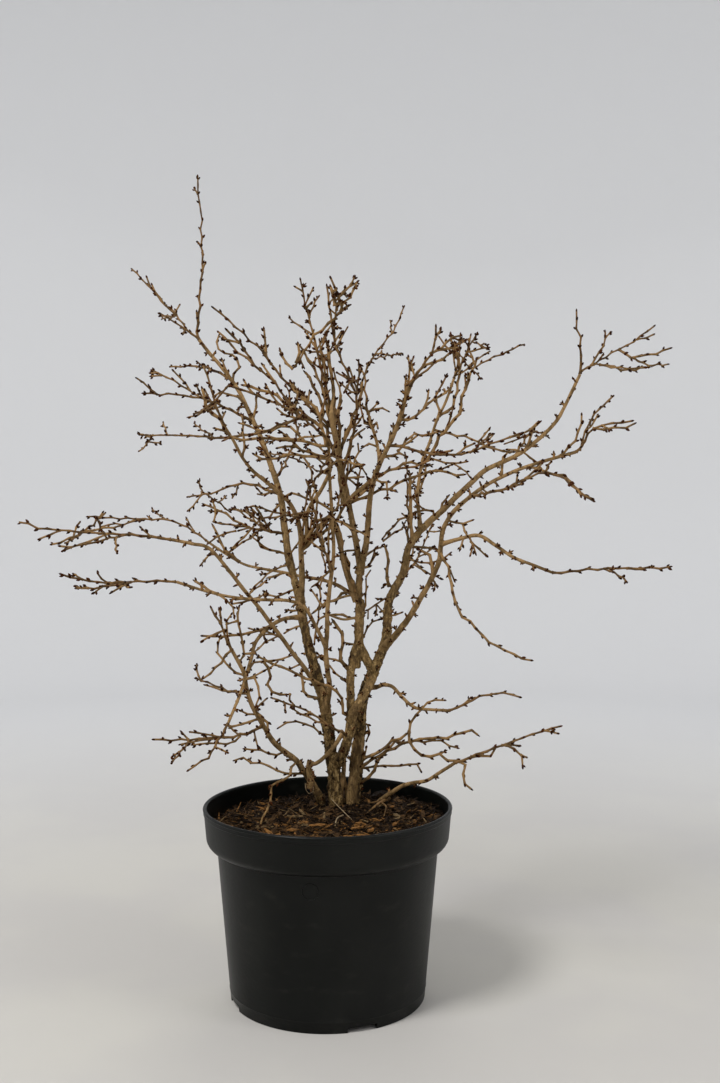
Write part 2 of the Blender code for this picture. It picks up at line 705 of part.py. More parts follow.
def main_twig(lead, corners, base_radius, rng, grown, relatives, free_length):
    """A twig from its lead through its corners to its tip, or None where nothing clear is found."""
    state = rng.getstate()
    for swerve in swerves():
        rng.setstate(state)
        between = corners[:-1] or [(lead[-1] + corners[-1]) / 2]
        bent = [*lead, *(corner + swerve for corner in between), corners[-1]]
        points = knobbled(smooth_way(bent, TWIG_STEP), TWIG_KNOBBLE, rng, len(lead))
        path = twig_path(points, base_radius)
        if grown.clear(path, relatives, free_length):
            return path
    return None


def side_twig(path, at, turn, length, rng, space, grown, relatives):
    """A twig that leaves another at a node, or None where it would leave the space or touch a limb."""
    ahead = heading(path.points, at)
    across = ahead.orthogonal().normalized()
    across.rotate(Matrix.Rotation(turn, 3, ahead))
    angle = rng.uniform(*SIDE_ANGLE)
    direction = ahead * math.cos(angle) + across * math.sin(angle)
    count = max(2, round(length / TWIG_STEP))
    points = [path.points[at]]
    for _ in range(count):
        sway = Vector(rng.uniform(-SIDE_SWAY, SIDE_SWAY) for _ in range(3))
        direction = (direction + sway + Vector((0, 0, UPWARD))).normalized()
        points.append(points[-1] + direction * length / count)
    lowest, highest = space
    inside = (lowest[axis] < point[axis] < highest[axis] for point in points for axis in range(3))
    if not all(inside):
        return None
    twig = twig_path(points, path.radii[at] / TRIANGLE_FAT * FORK_SHARE)
    if not grown.clear(twig, relatives, 3 * path.radii[at] + SIDE_FREE_LENGTH):
        return None
    return twig


def main_twigs(mass, own, parent, owners, grown):
    """The main twigs of a mass, which reach the tips that make the crown's outline."""
    rng = random.Random(mass.seed)
    carrier = parent.points[-1], parent.radii[-1]
    if mass.leaves_at:
        carrier = nearest_on(parent, metres(mass.leaves_at))
    relatives = [own, owners[mass.parent]]
    twigs = []
    for way in mass.ways:
        corners = [metres(place) for place in way]
        if twigs:
            start, radius = best_fork(twigs, corners[0])
            lead = [start]
            radius *= MAIN_TWIG_SHARE
            free_length = FREE_LENGTH
        elif mass.leaves_at:
            lead = [carrier[0]]
            radius = min(MAIN_TWIG_RADIUS, MAIN_TWIG_SHARE * carrier[1])
            free_length = 2.5 * carrier[1] + FREE_LENGTH
        else:
            onward = heading(parent.points, len(parent.points) - 1)
            lead = [carrier[0] + GAP * onward, carrier[0] + STRAIGHT_START * onward]
            radius = carrier[1] / TRIANGLE_FAT
            free_length = FREE_LENGTH
        path = main_twig(lead, corners, radius, rng, grown, relatives, free_length)
        if path:
            twigs.append(path)
            grown.add(path, own)
    return twigs


def space_of(twigs):
    """The space that a mass keeps to: the box round its main twigs and a small margin."""
    points = [point for path in twigs for point in path.points]
    lowest = [min(point[axis] for point in points) - ROOM_MARGIN for axis in range(3)]
    highest = [max(point[axis] for point in points) + ROOM_MARGIN for axis in range(3)]
    return lowest, highest


def side_twigs(mass, own, twigs, grown):
    """Side twigs at the nodes of the main twigs, each turned on from the last."""
    rng = random.Random(mass.seed + 100)
    space = space_of(twigs)
    made = []
    for path in twigs:
        last = len(path.points) - 2
        turn = rng.uniform(0, math.tau)
        for at in range(1, last):
            turn += NODE_TURN
            wanted = rng.random() < SIDE_CHANCE
            length = rng.uniform(*SIDE_LENGTH) * (1 - SIDE_SHORTENING * at / last)
            if not wanted or length < SHORTEST_TWIG:
                continue
            twig = side_twig(path, at, turn, length, rng, space, grown, [own])
            if twig:
                made.append(twig)
                grown.add(twig, own)
    return made


# The solids of the plant


def tube(name, path, sides, material):
    """A closed tapering tube: a ring at each point of the way, bridged to the ring before."""
    bm = bmesh.new()
    ahead = heading(path.points, 0)
    turn = ahead.to_track_quat("Z", "Y")
    rings = []
    for at, (point, radius) in enumerate(zip(path.points, path.radii)):
        turn = ahead.rotation_difference(heading(path.points, at)) @ turn
        ahead = heading(path.points, at)
        place = Matrix.LocRotScale(point, turn, Vector((radius, radius, radius)))
        verts = bmesh.ops.create_circle(bm, segments=sides, radius=1, matrix=place)["verts"]
        rings.append(list({edge for vert in verts for edge in vert.link_edges}))
        if at in (0, len(path.points) - 1):
            bm.faces.new(verts)
    for before, after in zip(rings, rings[1:]):
        bmesh.ops.bridge_loops(bm, edges=before + after)
    return new_object(name, bm, material)


def fattened(path, extra):
    """The same way, thicker all round."""
    return Path(path.points, [radius + extra for radius in path.radii])


def cut_clear(obj, parent, sides, material):
    """Cuts an object back to the surface of the limb that carries it, with a small gap."""
    cutter = tube("cutter", fattened(parent, GAP / math.cos(math.pi / sides)), sides, material)
    cutter.hide_render = True
    cutter.display_type = "WIRE"
    cut(obj, cutter)
    bpy.data.objects.remove(cutter)


def join_twigs(name, twigs, material):
    """One solid of all the twigs of a mass, by a Boolean union with the rest of them."""
    objects = [tube(f"{name}_{number}", twig, 3, material) for number, twig in enumerate(twigs)]
    trunk, others = objects[0], objects[1:]
    trunk.name = name
    if not others:
        return trunk
    bundle = bpy.data.collections.new(name + "_bundle")
    bpy.context.scene.collection.children.link(bundle)
    for obj in others:
        bpy.context.scene.collection.objects.unlink(obj)
        bundle.objects.link(obj)
    modifier = trunk.modifiers.new("union", "BOOLEAN")
    modifier.operation = "UNION"
    modifier.operand_type = "COLLECTION"
    modifier.collection = bundle
    modifier.solver = "EXACT"
    apply_modifiers(trunk)
    for obj in others:
        bpy.data.objects.remove(obj)
    bpy.data.collections.remove(bundle)
    return trunk


def keep_largest_body(obj):
    """Drops loose scraps and the skins of sealed hollows, which a cut or a union can leave."""
    bm = bmesh.new()
    bm.from_mesh(obj.data)
    left = set(bm.faces)
    bodies = []
    while left:
        body = {left.pop()}
        edge_of_search = list(body)
        while edge_of_search:
            face = edge_of_search.pop()
            for other in {link for edge in face.edges for link in edge.link_faces} & left:
                left.remove(other)
                body.add(other)
                edge_of_search.append(other)
        bodies.append(body)
    bodies.sort(key=len)
    for body in bodies[:-1]:
        bmesh.ops.delete(bm, geom=list(body), context="FACES")
    bm.to_mesh(obj.data)
    bm.free()


def grow_plant():
    """Works out the ways of all limbs and twigs, in an order that lets the larger go first."""
    grown = Grown()
    limb_paths = {}
    owners = {name: number for number, name in enumerate([*LIMBS, *MASSES])}
    for name, limb in LIMBS.items():
        limb_paths[name] = limb_path(name, limb, limb_paths)
        grown.add(limb_paths[name], owners[name])
    twig_paths = {}
    for name, mass in MASSES.items():
        twig_paths[name] = main_twigs(mass, owners[name], limb_paths[mass.parent], owners, grown)
    for name, mass in MASSES.items():
        twig_paths[name] += side_twigs(mass, owners[name], twig_paths[name], grown)
    return limb_paths, twig_paths


def build_plant(limb_paths, twig_paths, bark, young_bark):
    """Makes a solid of each limb and of each mass of twigs."""
    for name, limb in LIMBS.items():
        material = bark if limb.sides > 8 else young_bark
        obj = tube(name, limb_paths[name], limb.sides, material)
        for other in filter(None, (limb.parent, limb.joins)):
            cut_clear(obj, limb_paths[other], LIMBS[other].sides, material)
        keep_largest_body(obj)
    for name, mass in MASSES.items():
        obj = join_twigs(name, twig_paths[name], young_bark)
        if mass.leaves_at:
            cut_clear(obj, limb_paths[mass.parent], LIMBS[mass.parent].sides, young_bark)
        keep_largest_body(obj)


def main():
    clear_scene()
    pot_plastic = finish("pot_plastic", (0.012, 0.013, 0.012), 0.42)
    bark_mulch = finish("bark_mulch", (0.085, 0.038, 0.018), 0.9)
    bark = finish("old_bark", (0.16, 0.11, 0.055), 0.8)
    young_bark = finish("young_bark", (0.33, 0.22, 0.12), 0.65)
    make_pot(pot_plastic)
    make_mulch(bark_mulch)
    limb_paths, twig_paths = grow_plant()
    build_plant(limb_paths, twig_paths, bark, young_bark)


main()
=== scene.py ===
# %% [markdown]
# # A potted fuji cherry in winter
# The subject is a bare flowering shrub in a black nursery pot. The frame already holds its true sizes: three
# thick stems, their boughs, and masses of twigs as plain solids. This lesson grows the same shrub again with the
# same rule and carries it on to the finest twigs, spurs and buds. It gives the stems bark with real relief,
# moulds the pot smoothly, and lays the bark mulch chip by chip.

import json
import math
import random
from typing import NamedTuple

import bmesh
import bpy
import numpy as np
from mathutils import Matrix, Vector, kdtree, noise

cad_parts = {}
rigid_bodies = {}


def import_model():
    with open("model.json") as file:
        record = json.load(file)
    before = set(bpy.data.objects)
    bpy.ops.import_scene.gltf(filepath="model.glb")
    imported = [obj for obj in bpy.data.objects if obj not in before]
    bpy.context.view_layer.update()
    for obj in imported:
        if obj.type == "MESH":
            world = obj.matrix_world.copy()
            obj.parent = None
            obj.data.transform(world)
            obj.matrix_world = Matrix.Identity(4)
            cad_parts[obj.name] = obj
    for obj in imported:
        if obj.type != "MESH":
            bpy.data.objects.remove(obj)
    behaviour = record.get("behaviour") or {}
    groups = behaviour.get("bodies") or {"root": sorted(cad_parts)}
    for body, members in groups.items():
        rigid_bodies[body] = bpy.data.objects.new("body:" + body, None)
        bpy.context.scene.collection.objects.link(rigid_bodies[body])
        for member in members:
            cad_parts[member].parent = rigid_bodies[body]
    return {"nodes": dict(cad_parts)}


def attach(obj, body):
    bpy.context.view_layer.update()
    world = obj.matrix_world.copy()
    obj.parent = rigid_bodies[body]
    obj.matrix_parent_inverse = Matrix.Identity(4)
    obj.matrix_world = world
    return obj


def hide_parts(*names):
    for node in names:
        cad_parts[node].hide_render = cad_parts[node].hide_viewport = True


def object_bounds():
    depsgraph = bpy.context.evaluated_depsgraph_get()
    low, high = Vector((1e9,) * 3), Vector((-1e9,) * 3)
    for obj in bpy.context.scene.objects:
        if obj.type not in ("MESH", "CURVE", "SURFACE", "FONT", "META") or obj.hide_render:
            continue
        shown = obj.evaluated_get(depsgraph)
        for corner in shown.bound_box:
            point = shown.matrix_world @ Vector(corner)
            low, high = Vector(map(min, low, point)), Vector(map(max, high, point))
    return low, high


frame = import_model()
cad_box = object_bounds()
print("frame:", len(frame["nodes"]), "nodes, from", tuple(cad_box[0]), "to", tuple(cad_box[1]))

# %% [markdown]
# ## The camera
# The view is a low one: the lens sits a little above half the plant's height and looks down by a degree or two,
# so that the pot's rim opens as a flat ellipse and the crown is seen from the side. A lens of about 40 mm on a
# 36 mm frame holds the whole plant from a step and a half away.

# %% Set up the camera
CAMERA_PLACE = Vector((0.0357, -1.324, 0.5405))
CAMERA_TILT = math.radians(1.6)
LENS = 39.84

camera = bpy.data.objects.new("camera", bpy.data.cameras.new("camera"))
bpy.context.scene.collection.objects.link(camera)
camera.data.sensor_width = 36
camera.data.lens = LENS
camera.data.clip_start = 0.02
camera.location = CAMERA_PLACE
camera.rotation_euler = (math.radians(90) - CAMERA_TILT, 0, 0)
bpy.context.scene.camera = camera
print("camera at", tuple(camera.location))

# %% [markdown]
# ## The studio
# A bare shrub needs an even, pale ground behind it, or its thin twigs are lost. One spun profile makes a round
# room whose floor curves up into its wall, so that no horizon crosses the twigs from any side.

# %% Make the floor and the backdrop
ROOM_RADIUS = 2.9
COVE = 0.7
WALL_TOP = 3.4


def linked(name, bm):
    """Makes an object of a finished bmesh, at the origin, and puts it in the scene."""
    mesh = bpy.data.meshes.new(name)
    bm.to_mesh(mesh)
    bm.free()
    obj = bpy.data.objects.new(name, mesh)
    bpy.context.scene.collection.objects.link(obj)
    return obj


def spun(profile, steps):
    """Spins a profile of (radius, height) points round the Z axis."""
    bm = bmesh.new()
    verts = [bm.verts.new((radius, 0, height)) for radius, height in profile]
    edges = [bm.edges.new(pair) for pair in zip(verts, verts[1:])]
    bmesh.ops.spin(
        bm, geom=verts + edges, axis=(0, 0, 1), cent=(0, 0, 0),
        angle=math.tau, steps=steps, use_merge=True, use_duplicate=False,
    )
    bmesh.ops.remove_doubles(bm, verts=bm.verts, dist=1e-6)
    bmesh.ops.recalc_face_normals(bm, faces=bm.faces)
    return bm


def arc(centre, radius, start, end, steps):
    """Points on an arc of a profile, from one angle to the other, in degrees."""
    for step in range(steps + 1):
        turn = math.radians(start + (end - start) * step / steps)
        yield centre[0] + radius * math.cos(turn), centre[1] + radius * math.sin(turn)


cove = arc((ROOM_RADIUS - COVE, COVE), COVE, -90, 0, 16)
room = linked("studio_room", spun([(0, 0), *cove, (ROOM_RADIUS, WALL_TOP)], 96))
room.data.shade_smooth()
print("studio:", len(room.data.polygons), "faces")

# %% [markdown]
# ## Light
# The photo's light is soft and comes from above and in front, with pale walls on both sides: the black pot shows
# a soft lighter band down each flank. Big area lights give that: a key over the left shoulder, a weaker fill on
# the right, and one from behind that lifts the twigs off the ground. The sky is a plain pale grey.

# %% Place the lights
LIGHTS = {
    "key": ((-1.1, -1.2, 2.4), 0.8, 50),
    "fill": ((1.8, -0.9, 1.4), 1.0, 10),
    "back": ((0.2, 1.7, 2.4), 1.4, 8),
}
AIM = Vector((0.02, 0.05, 0.42))
SKY_COLOUR = (0.97, 0.98, 1.0)
SKY_STRENGTH = 0.36


def area_light(name, place, size, power):
    lamp = bpy.data.lights.new(name, "AREA")
    lamp.shape = "DISK"
    lamp.size = size
    lamp.energy = power
    obj = bpy.data.objects.new(name, lamp)
    bpy.context.scene.collection.objects.link(obj)
    obj.location = place
    obj.rotation_euler = (AIM - Vector(place)).to_track_quat("-Z", "Y").to_euler()
    return obj


for name, (place, size, power) in LIGHTS.items():
    area_light(name, place, size, power)
sky = bpy.data.worlds.new("sky")
sky.use_nodes = True
sky.node_tree.nodes["Background"].inputs["Color"].default_value = (*SKY_COLOUR, 1)
sky.node_tree.nodes["Background"].inputs["Strength"].default_value = SKY_STRENGTH
bpy.context.scene.world = sky
bpy.context.scene.view_settings.view_transform = "Standard"
print("lights:", ", ".join(LIGHTS))

# %% [markdown]
# ## Building materials in code
# Bark, bud scales, shredded bark and scuffed plastic all need the same thing: a mask that says where the surface
# is of one kind and where of another. A node group makes such a mask once, and each material places it with its
# own scale and stretch. The group puts out only a value, and every Principled shader stays in its own material.

# %% Make the shared mask
def new_node(tree, kind, settings=(), sockets=()):
    """Adds a node, sets its properties, and gives its unlinked sockets their values."""
    node = tree.nodes.new(kind)
    for key, value in dict(settings).items():
        setattr(node, key, value)
    for key, value in dict(sockets).items():
        node.inputs[key].default_value = value
    return node


def build_mottle():
    """A group that puts out a mask of soft patches: Object coordinates, stretched, through a noise and a ramp."""
    group = bpy.data.node_groups.new("mottle", "ShaderNodeTree")
    for name, kind, value in (
        ("Stretch", "NodeSocketVector", (1, 1, 1)), ("Scale", "NodeSocketFloat", 100),
        ("Detail", "NodeSocketFloat", 3), ("Low", "NodeSocketFloat", 0.4), ("High", "NodeSocketFloat", 0.6),
    ):
        group.interface.new_socket(name, in_out="INPUT", socket_type=kind).default_value = value
    group.interface.new_socket("Mask", in_out="OUTPUT", socket_type="NodeSocketFloat")
    link = group.links.new
    given = new_node(group, "NodeGroupInput")
    result = new_node(group, "NodeGroupOutput")
    place = new_node(group, "ShaderNodeTexCoord")
    stretch = new_node(group, "ShaderNodeVectorMath", {"operation": "MULTIPLY"})
    patches = new_node(group, "ShaderNodeTexNoise")
    ramp = new_node(group, "ShaderNodeMapRange", {"interpolation_type": "SMOOTHSTEP"})
    link(place.outputs["Object"], stretch.inputs[0])
    link(given.outputs["Stretch"], stretch.inputs[1])
    link(stretch.outputs[0], patches.inputs["Vector"])
    link(given.outputs["Scale"], patches.inputs["Scale"])
    link(given.outputs["Detail"], patches.inputs["Detail"])
    link(patches.outputs["Fac"], ramp.inputs["Value"])
    link(given.outputs["Low"], ramp.inputs["From Min"])
    link(given.outputs["High"], ramp.inputs["From Max"])
    link(ramp.outputs["Result"], result.inputs["Mask"])
    return group


MOTTLE = build_mottle()
print("shared mask:", MOTTLE.name)

# %% [markdown]
# Each material is then a short recipe: a start colour, and layers that each mix in one more colour where their
# mask says so. A last mask gives the fine bumps. Colours here are linear, as Blender reads them.

# %% Make the recipe
class Layer(NamedTuple):
    """One more colour, and the mask of patches that it shows in."""

    colour: tuple
    scale: float
    low: float = 0.4
    high: float = 0.6
    stretch: tuple = (1, 1, 1)
    detail: float = 3
    strength: float = 1


class Bumps(NamedTuple):
    """How deep the fine bumps are, in metres, how close together, and how they are stretched."""

    depth: float
    scale: float
    stretch: tuple = (1, 1, 1)
    detail: float = 4


def mask_node(tree, scale, low, high, stretch, detail):
    mask = new_node(tree, "ShaderNodeGroup", {"node_tree": MOTTLE})
    for key, value in (("Scale", scale), ("Low", low), ("High", high), ("Detail", detail)):
        mask.inputs[key].default_value = value
    mask.inputs["Stretch"].default_value = stretch
    return mask.outputs["Mask"]


def mixed(tree, share, first, second):
    """Mixes two colours, each a socket or a plain colour, by a socket's share."""
    mix = new_node(tree, "ShaderNodeMix", {"data_type": "RGBA"})
    tree.links.new(share, mix.inputs["Factor"])
    for name, colour in (("A", first), ("B", second)):
        socket = next(s for s in mix.inputs if s.name == name and s.type == "RGBA")
        if isinstance(colour, tuple):
            socket.default_value = (*colour, 1)
        else:
            tree.links.new(colour, socket)
    return next(s for s in mix.outputs if s.type == "RGBA")


def layered(tree, colour, layers):
    """The colour socket of a start colour with its layers mixed in, one after the other."""
    for layer in layers:
        share = mask_node(tree, layer.scale, layer.low, layer.high, layer.stretch, layer.detail)
        if layer.strength < 1:
            weaker = new_node(tree, "ShaderNodeMath", {"operation": "MULTIPLY"})
            weaker.inputs[1].default_value = layer.strength
            tree.links.new(share, weaker.inputs[0])
            share = weaker.outputs[0]
        colour = mixed(tree, share, colour, layer.colour)
    return colour


def bumpy(tree, shader, bumps):
    """Adds fine bumps to a shader's normal."""
    height = mask_node(tree, bumps.scale, 0.2, 0.8, bumps.stretch, bumps.detail)
    bump = new_node(tree, "ShaderNodeBump", (), {"Strength": 1, "Distance": bumps.depth})
    tree.links.new(height, bump.inputs["Height"])
    tree.links.new(bump.outputs["Normal"], shader.inputs["Normal"])


def surface(name, colour, layers, roughness, bumps, specular=0.5):
    """A finish from a start colour, its layers, a range of roughness and its bumps."""
    material = bpy.data.materials.new(name)
    material.use_nodes = True
    tree = material.node_tree
    shader = tree.nodes["Principled BSDF"]
    shader.inputs["Specular IOR Level"].default_value = specular
    shader.inputs["Metallic"].default_value = 0
    tree.links.new(layered(tree, colour, layers), shader.inputs["Base Color"])
    spread = new_node(tree, "ShaderNodeMapRange", (), {"To Min": roughness[0], "To Max": roughness[1]})
    tree.links.new(mask_node(tree, layers[0].scale * 0.7, 0.3, 0.7, (1, 1, 1), 2), spread.inputs["Value"])
    tree.links.new(spread.outputs["Result"], shader.inputs["Roughness"])
    bumpy(tree, shader, bumps)
    return material


print("recipes ready")

# %% [markdown]
# The studio's paint is the first use of the recipe: a warm light grey floor under the pot, like swept concrete, that
# turns into a paler and cooler ground further out. The distance of each point from the middle gives the mix.

# %% Paint the studio
FLOOR_GREY = (0.56, 0.54, 0.495)
FLOOR_SPREAD = (0.2, 2.2)
WALL_WHITE = (0.80, 0.803, 0.81)

room_paint = surface("room_paint", FLOOR_GREY, [Layer((0.53, 0.51, 0.48), 3)], (0.75, 0.85), Bumps(0.0002, 30))
tree = room_paint.node_tree
shader = tree.nodes["Principled BSDF"]
floor_colour = shader.inputs["Base Color"].links[0].from_socket
place = new_node(tree, "ShaderNodeTexCoord")
distance = new_node(tree, "ShaderNodeVectorMath", {"operation": "LENGTH"})
spread = new_node(tree, "ShaderNodeMapRange", {"interpolation_type": "SMOOTHSTEP"})
spread.inputs["From Min"].default_value, spread.inputs["From Max"].default_value = FLOOR_SPREAD
tree.links.new(place.outputs["Object"], distance.inputs[0])
tree.links.new(distance.outputs["Value"], spread.inputs["Value"])
tree.links.new(mixed(tree, spread.outputs["Result"], floor_colour, WALL_WHITE), shader.inputs["Base Color"])
room.data.materials.append(room_paint)
print("painted", room.name)

# %% [markdown]
# ## The limbs of the shrub
# A shrub is measured limb by limb: where each leaves its parent, how thick it is at foot and tip, and the corners
# that its way passes. The frame's solids were made from this table, so the same table gives the same plant. The
# ways are in centimetres, because that is how a plant is measured.

# %% List the limbs
MULCH_TOP = 0.198
GAP = 0.0003


class Limb(NamedTuple):
    """A stem or a bough: what carries it, its radii in millimetres at foot and tip, its sides, its way.

    A limb whose tip has grown into another names that limb in joins.
    """

    parent: str | None
    foot_radius: float
    tip_radius: float
    sides: int
    way: list
    joins: str | None = None


LIMBS = {
    "stem_left": Limb(None, 7.7, 2.2, 10, [
        (0.8, 5.5, 19.8), (0.3, 4.6, 25.5), (-0.6, 5, 32), (-1.9, 5.5, 36.5), (-3.5, 6.2, 43.5),
        (-5, 7.5, 50), (-5.7, 8.5, 55), (-7.5, 10, 60.5), (-11, 12, 68), (-16, 14, 74.5),
    ]),
    "stem_middle": Limb("stem_left", 5.9, 2.8, 10, [
        (0.8, 4.7, 24), (1.7, 3.5, 26.5), (2.5, 3.5, 29.3), (2.5, 4.4, 32.4), (2.4, 5, 34.7),
        (2.9, 5.5, 37.1), (3.4, 5.5, 39.1), (3.5, 5.5, 43.5), (3.5, 5.5, 47.8), (2.4, 5, 53.6),
        (1.7, 4.3, 57.2), (0.4, 4, 64),
    ]),
    "stem_right": Limb(None, 7.6, 2, 10, [
        (2.7, 5.7, 19.8), (3.3, 5.9, 26), (3.8, 6, 31.8), (4.6, 6, 34), (6.5, 6.2, 38.5),
        (6.9, 7.5, 43), (8.6, 8, 46.5), (9.5, 8, 49.7), (11.5, 9, 52.2), (18.5, 10, 58.5),
        (22.5, 10.5, 60.5), (27, 11, 64.5), (29.8, 11, 70),
    ]),
    "stem_cross": Limb("stem_middle", 4.9, 4.5, 8, [
        (2.5, 3.6, 29.7), (3.3, 3.3, 31.6), (4.3, 4.2, 33), (5.2, 6, 34.6),
    ], "stem_right"),
    "stem_low_left": Limb(None, 4.4, 2, 8, [
        (-0.9, 5.2, 19.8), (-2.2, 3.4, 23), (-3.6, 1.2, 25.8), (-5.9, 0, 27.8), (-8.3, -2, 32.6),
        (-9.1, -3, 36.3), (-10.2, -4, 38.8),
    ]),
    "stem_low_right": Limb(None, 2.7, 1.9, 6, [
        (5.8, 4.9, 19.8), (7.4, 3.2, 21.8), (8.4, 2.4, 22.7), (11, 0, 23.8), (14, -2, 26.2),
    ]),
    "bough_inner_left": Limb("stem_left", 4.0, 1.7, 8, [
        (-3.3, 6, 42.5), (-3.1, 4.8, 46), (-3.3, 4.2, 51), (-4.4, 3, 54.6), (-8.3, 0, 58.2),
        (-11, -3, 62.8),
    ]),
    "bough_slim": Limb("stem_left", 3.3, 1.8, 8, [
        (-0.3, 5, 30.5), (0.1, 3.4, 33.5), (-0.2, 2.8, 38), (0, 3, 44), (0.5, 3, 48.5),
        (0.4, 1.6, 54.4), (0.2, -2.6, 60.8),
    ]),
    "bough_centre_right": Limb("stem_middle", 4.0, 2.2, 8, [
        (3.5, 5.5, 46.5), (4.2, 4.4, 50), (5.1, 2.5, 57), (7.3, -1, 62), (8.9, -5, 67),
    ]),
    "bough_back": Limb("bough_centre_right", 2.3, 1.6, 6, [
        (5.1, 2.7, 56.5), (5.7, 5.5, 59.6), (5.3, 9, 63), (4.5, 11, 65.5),
    ]),
    "bough_right": Limb("stem_right", 4.0, 1.8, 8, [
        (6.4, 6.2, 37.6), (8.3, 4, 40.4), (11.4, 2, 45.6), (12.3, 1, 48), (12.8, 0, 51.6),
        (15.2, -2, 55), (20, -4, 57.9), (26.5, -5, 60),
    ]),
    "bough_right_up": Limb("stem_right", 2.5, 1.7, 6, [
        (10.6, 8.7, 51.3), (10.5, 11, 55.5), (11.2, 13, 59.8), (15, 14, 69.8),
    ]),
    "bough_right_level": Limb("bough_right", 2.5, 1.7, 6, [
        (12.6, 0.4, 50), (16.4, -2, 51), (20, -4, 48.7), (24, -5, 47.2),
    ]),
    "bough_left_low": Limb("stem_left", 3.0, 1.9, 8, [
        (-0.8, 5.1, 32.6), (-2.9, 2.8, 36.2), (-7.5, -1, 43), (-10.4, -3, 47), (-12.5, -4, 49.6),
        (-16.5, -5, 50.7),
    ]),
    "bough_left_back": Limb("stem_middle", 2.4, 1.6, 6, [
        (3.5, 5.2, 43.5), (0.5, 8.6, 45.2), (-3.5, 11.2, 45.9), (-10.6, 14, 47.2), (-15.3, 15, 50),
    ]),
    "bough_left_level": Limb("bough_slim", 2.3, 1.6, 6, [
        (-0.2, 2.8, 38.3), (-2.6, 0.4, 43), (-5.9, -1.4, 44), (-10.8, -3.4, 44.5), (-16, -5, 46.2),
    ]),
    "bough_left_down": Limb("stem_left", 2.7, 1.7, 6, [
        (-3, 6, 41.4), (-5.4, 2.4, 41.4), (-7.8, -1, 39.4), (-9.2, -5, 34), (-10.3, -7, 31.4),
    ]),
    "bough_low_right": Limb("stem_right", 2.5, 1.7, 6, [
        (4.4, 6.3, 33.2), (5.5, 6.6, 33.3), (7.3, 3.4, 33.7), (9.6, 0, 31.9), (13.2, -3, 32.1),
    ]),
}

print("limbs:", len(LIMBS))

# %% [markdown]
# ## The masses of twigs
# A twig is too thin to be listed on its own, so only those that reach the outline of the crown are. Each mass has
# the tips of its main twigs. The rule below finds the way to them and adds the side twigs.

# %% List the masses
class Mass(NamedTuple):
    """A mass of twigs: the limb that carries it, its seed, and the ways of its main twigs to their tips.

    The first way starts at the carrying limb's tip, or where that limb passes nearest to leaves_at.
    """

    parent: str
    seed: int
    leaves_at: tuple | None
    ways: list


